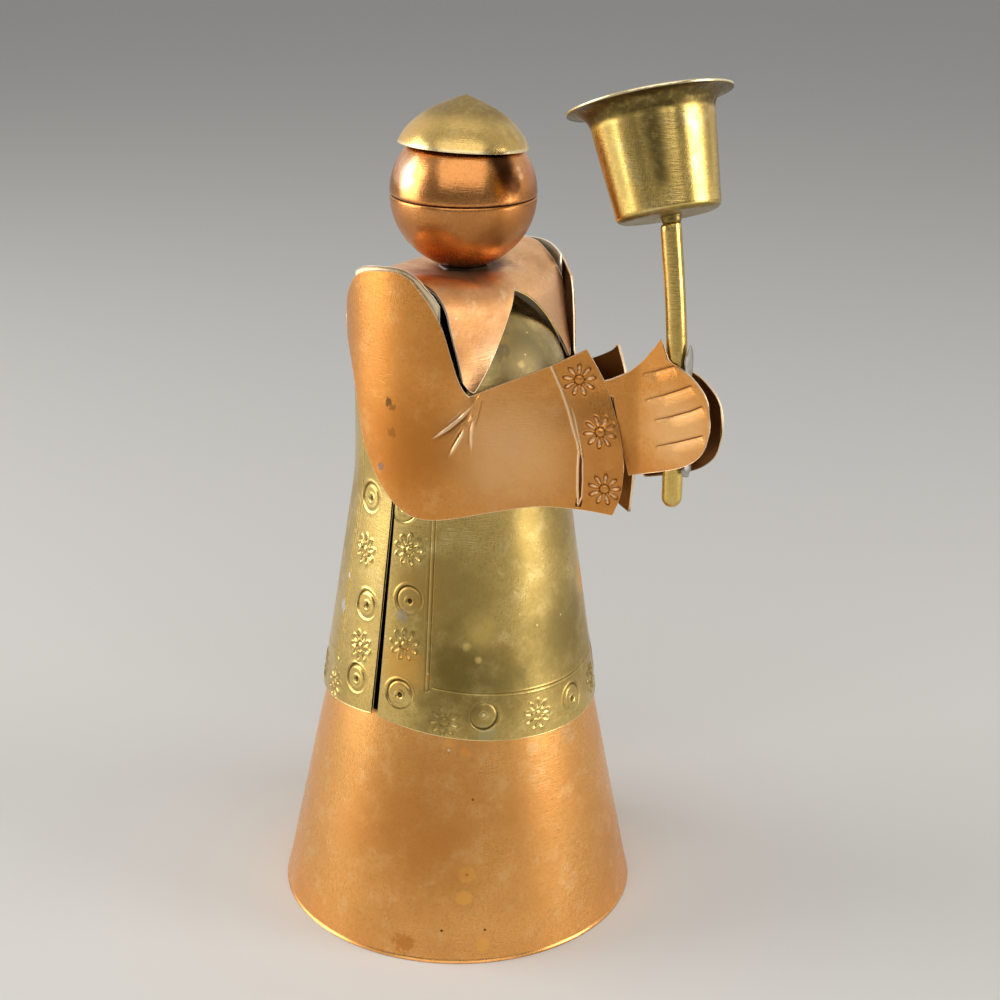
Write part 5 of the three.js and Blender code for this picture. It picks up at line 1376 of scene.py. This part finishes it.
def makeCup():
    # the wall's outer and inner face with a rounded rim between them, streaked with tarnish and a painted
    # dark reflection, and with painted shade under the flange
    outer, inner = cupWall(0.0), cupWall(cup["wall"])[::-1]
    rim = np.array([[cup["flange"] + 0.04, cup["height"] - cup["wall"] * 0.72],
                    [cup["flange"] + 0.07, cup["height"] - cup["wall"] * 0.45],
                    [cup["flange"] + 0.02, cup["height"] - cup["wall"] * 0.16]])
    profile = np.vstack([[[0, 0], [3, 0], [6, 0]], outer, rim, inner, [[5, cup["floor"]], [0, cup["floor"]]]])

    def unevenness(r, z, angle):
        x, y = r * np.sin(angle), -r * np.cos(angle)
        lump = waviness(x + 0.3 * z, y - 0.2 * z, 14, 0.045, 91) * smooth((r - 3) / 5)
        return r + lump - 0.04, z - 0.02 * smooth((z - 20) / 2)

    points, faces = turnedSurface(profile, cup["sides"], unevenness)
    x, y, z = points.T
    atRim = np.exp(-np.hypot(np.hypot(x, y) - cup["flange"] - 0.1, z - cup["height"] + 0.3) / 0.35)
    # each row of the grid is one ring, and the first two of them are the flat underside
    row = np.arange(len(points)) // cup["sides"] - 2
    outside = (row >= 0) & (row < len(outer))
    turn = np.degrees(np.arctan2(x, -y))
    # painted shade under the flange, and darker round the bottom of the foot
    grimeAndShade = 0.92 * smooth((row - len(outer) + 40) / 9.0) * outside
    grimeAndShade = np.maximum(grimeAndShade, 0.75 * smooth((1.3 - z) / 0.9) * (z < 1.4) * (row < 8))
    for at, wide, low, high, share in cupStreaksAndReflection:
        fade = smooth((z - low) / 5.0) * smooth((high - z) / 2.0)
        spread = wide * mix(0.65, 1.15, np.clip(z / cup["throatHeight"], 0, 1))
        streak = share * np.exp(-np.abs((turn - at) / spread) ** 3) * fade
        grimeAndShade = np.maximum(grimeAndShade, streak * outside)
    layers = {"edge": atRim, "depth": np.zeros(len(points)), "grimeAndShade": grimeAndShade}
    piece = meshObject("cupShell", onStaff(points), faces, materials["brightBrass"], layers)
    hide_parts("candle_cup")


def makeCupSolder():
    # it fills the gap between the two, a little waisted, and creeps out under the cup
    low, high = -cup["solder"] - 2 * cup["gap"] - 0.05, 0.04
    r = staff["radius"]
    profile = [[0, low], [r - 0.42, low], [r - 0.24, low + 0.12], [r - 0.14, mix(low, high, 0.4)],
               [r - 0.12, mix(low, high, 0.6)], [r - 0.04, mix(low, high, 0.8)], [r + 0.12, high - 0.06],
               [r + 0.1, high], [0, high]]
    points, faces = turnedSurface(profile, 64)
    points[:, 1] += cup["footForward"] - staff["topForward"]
    piece = meshObject("cupSolderJoint", onStaff(points), faces, materials["brightBrass"],
                       {"grimeAndShade": np.full(len(points), 0.8)})
    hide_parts("cup_solder")


staffBeads = {"upper": {"center": (0, -55.26, 132.0), "halves": (2.0, 0.5, 6.0), "seed": 101},
              "lower": {"center": (0, -56.0, 112.1), "halves": (2.0, 0.8, 2.0), "seed": 102}}
makeStaff()
makeCup()
makeCupSolder()
for end, drop in staffBeads.items():
    solderDrop(end + "StaffSolder", end + "_staff_solder", drop["center"], drop["halves"], drop["seed"])
print("staff and cup joined")

# the pieces inside and behind keep their CAD shape and get the same finishes
keptFinishes = dict.fromkeys(("skirt_seam_solder", "front_hem_solder", "back_hem_solder",
                              "right_shoulder_solder", "left_shoulder_solder", "head_seam_solder",
                              "cap_solder"), "greySolder")
keptFinishes["neck_stud"] = "brightBrass"
for node, finish in keptFinishes.items():
    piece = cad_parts[node]
    piece.data.materials.clear()
    piece.data.materials.append(materials[finish])


# floor, backdrop and lights

studio = {"floor": (0.74, 0.735, 0.72), "floorRough": 0.85, "half": 2.5, "lines": 41, "sink": 0.00002,
          "fill": 0.26, "behind": 0.80, "before": 0.20, "darkUpTo": -0.8, "paleFrom": 0.6,
          "tint": (1.0, 0.995, 0.98), "aim": (0, 0, 0.1)}


def makeFloor():
    # a flat grid a hair below the skirt's rim
    n = studio["lines"]
    x, y = np.meshgrid(*[np.linspace(-studio["half"], studio["half"], n)] * 2)
    points = np.stack([x, y, np.full(x.shape, -studio["sink"])], -1).reshape(-1, 3)
    mesh = bpy.data.meshes.new("studioFloor")
    mesh.from_pydata(points.tolist(), [], quads(np.arange(n * n).reshape(n, n)).tolist())
    floor = bpy.data.objects.new("studioFloor", mesh)
    bpy.context.scene.collection.objects.link(floor)
    material = bpy.data.materials.new("studioFloorPaint")
    material.use_nodes = True
    shader = material.node_tree.nodes["Principled BSDF"]
    shader.inputs["Base Color"].default_value = (*studio["floor"], 1)
    shader.inputs["Roughness"].default_value = studio["floorRough"]
    mesh.materials.append(material)


def makeWorld():
    # Even light for the soft fill. The camera and the metal see a backdrop that is pale behind the figure
    # and darker on the camera's side.
    world = bpy.data.worlds.new("studioWorld")
    bpy.context.scene.world = world
    world.use_nodes = True
    tree = world.node_tree
    tree.nodes.clear()
    add, link = tree.nodes.new, tree.links.new
    output = add("ShaderNodeOutputWorld")
    light, seen = add("ShaderNodeBackground"), add("ShaderNodeBackground")
    light.inputs["Color"].default_value = (*studio["tint"], 1)
    light.inputs["Strength"].default_value = studio["fill"]
    seen.inputs["Color"].default_value = (*studio["tint"], 1)
    where = add("ShaderNodeTexCoord")
    side = add("ShaderNodeVectorMath")
    side.operation = "DOT_PRODUCT"
    heading = math.radians(camera["heading"])
    side.inputs[1].default_value = (math.sin(heading), math.cos(heading), 0)
    link(where.outputs["Generated"], side.inputs[0])
    level = add("ShaderNodeMapRange")
    level.interpolation_type = "SMOOTHSTEP"
    for key, value in (("From Min", "darkUpTo"), ("From Max", "paleFrom"), ("To Min", "before"),
                       ("To Max", "behind")):
        level.inputs[key].default_value = studio[value]
    link(side.outputs["Value"], level.inputs["Value"])
    link(level.outputs["Result"], seen.inputs["Strength"])
    path = add("ShaderNodeLightPath")
    either, anyRay = add("ShaderNodeMath"), add("ShaderNodeMath")
    either.operation = anyRay.operation = "MAXIMUM"
    link(path.outputs["Is Camera Ray"], either.inputs[0])
    link(path.outputs["Is Glossy Ray"], either.inputs[1])
    link(either.outputs[0], anyRay.inputs[0])
    link(path.outputs["Is Transmission Ray"], anyRay.inputs[1])
    share = add("ShaderNodeMixShader")
    link(anyRay.outputs[0], share.inputs["Fac"])
    link(light.outputs[0], share.inputs[1])
    link(seen.outputs[0], share.inputs[2])
    link(share.outputs[0], output.inputs["Surface"])


# lamps: direction from the figure in degrees from +Y towards +X, height angle, distance, size and radiance
lamps = {
    "leftWindow": {"turn": -34.0, "up": 16.0, "far": 0.85, "size": (0.58, 0.66), "glow": 4.3,
                   "tint": (1.0, 0.97, 0.92)},
    "rightWindow": {"turn": 160.0, "up": 13.0, "far": 0.85, "size": (0.40, 0.54), "glow": 5.3,
                    "tint": (1.0, 0.97, 0.92)},
    "frontSoft": {"turn": 236.0, "up": 46.0, "far": 0.95, "size": (1.3, 0.8), "glow": 1.25,
                  "tint": (1.0, 0.98, 0.95)},
    "topSoft": {"turn": 60.0, "up": 80.0, "far": 0.90, "size": (0.55, 0.55), "glow": 0.35,
                "tint": (1.0, 1.0, 1.0)}}


def makeLamps():
    # soft rectangles that look at the figure, each with the power that gives its radiance
    aim = Vector(studio["aim"])
    for name, look in lamps.items():
        turn, up = math.radians(look["turn"]), math.radians(look["up"])
        data = bpy.data.lights.new(name, "AREA")
        data.shape = "RECTANGLE"
        data.size, data.size_y = look["size"]
        data.energy = look["glow"] * math.pi * data.size * data.size_y
        data.color = look["tint"]
        holder = bpy.data.objects.new(name, data)
        direction = Vector((math.sin(turn) * math.cos(up), math.cos(turn) * math.cos(up), math.sin(up)))
        holder.location = aim + direction * look["far"]
        holder.rotation_euler = (-direction).to_track_quat("-Z", "Y").to_euler()
        bpy.context.scene.collection.objects.link(holder)


makeFloor()
makeWorld()
makeLamps()
bpy.context.scene.view_settings.view_transform = "Standard"
print("studio lit")
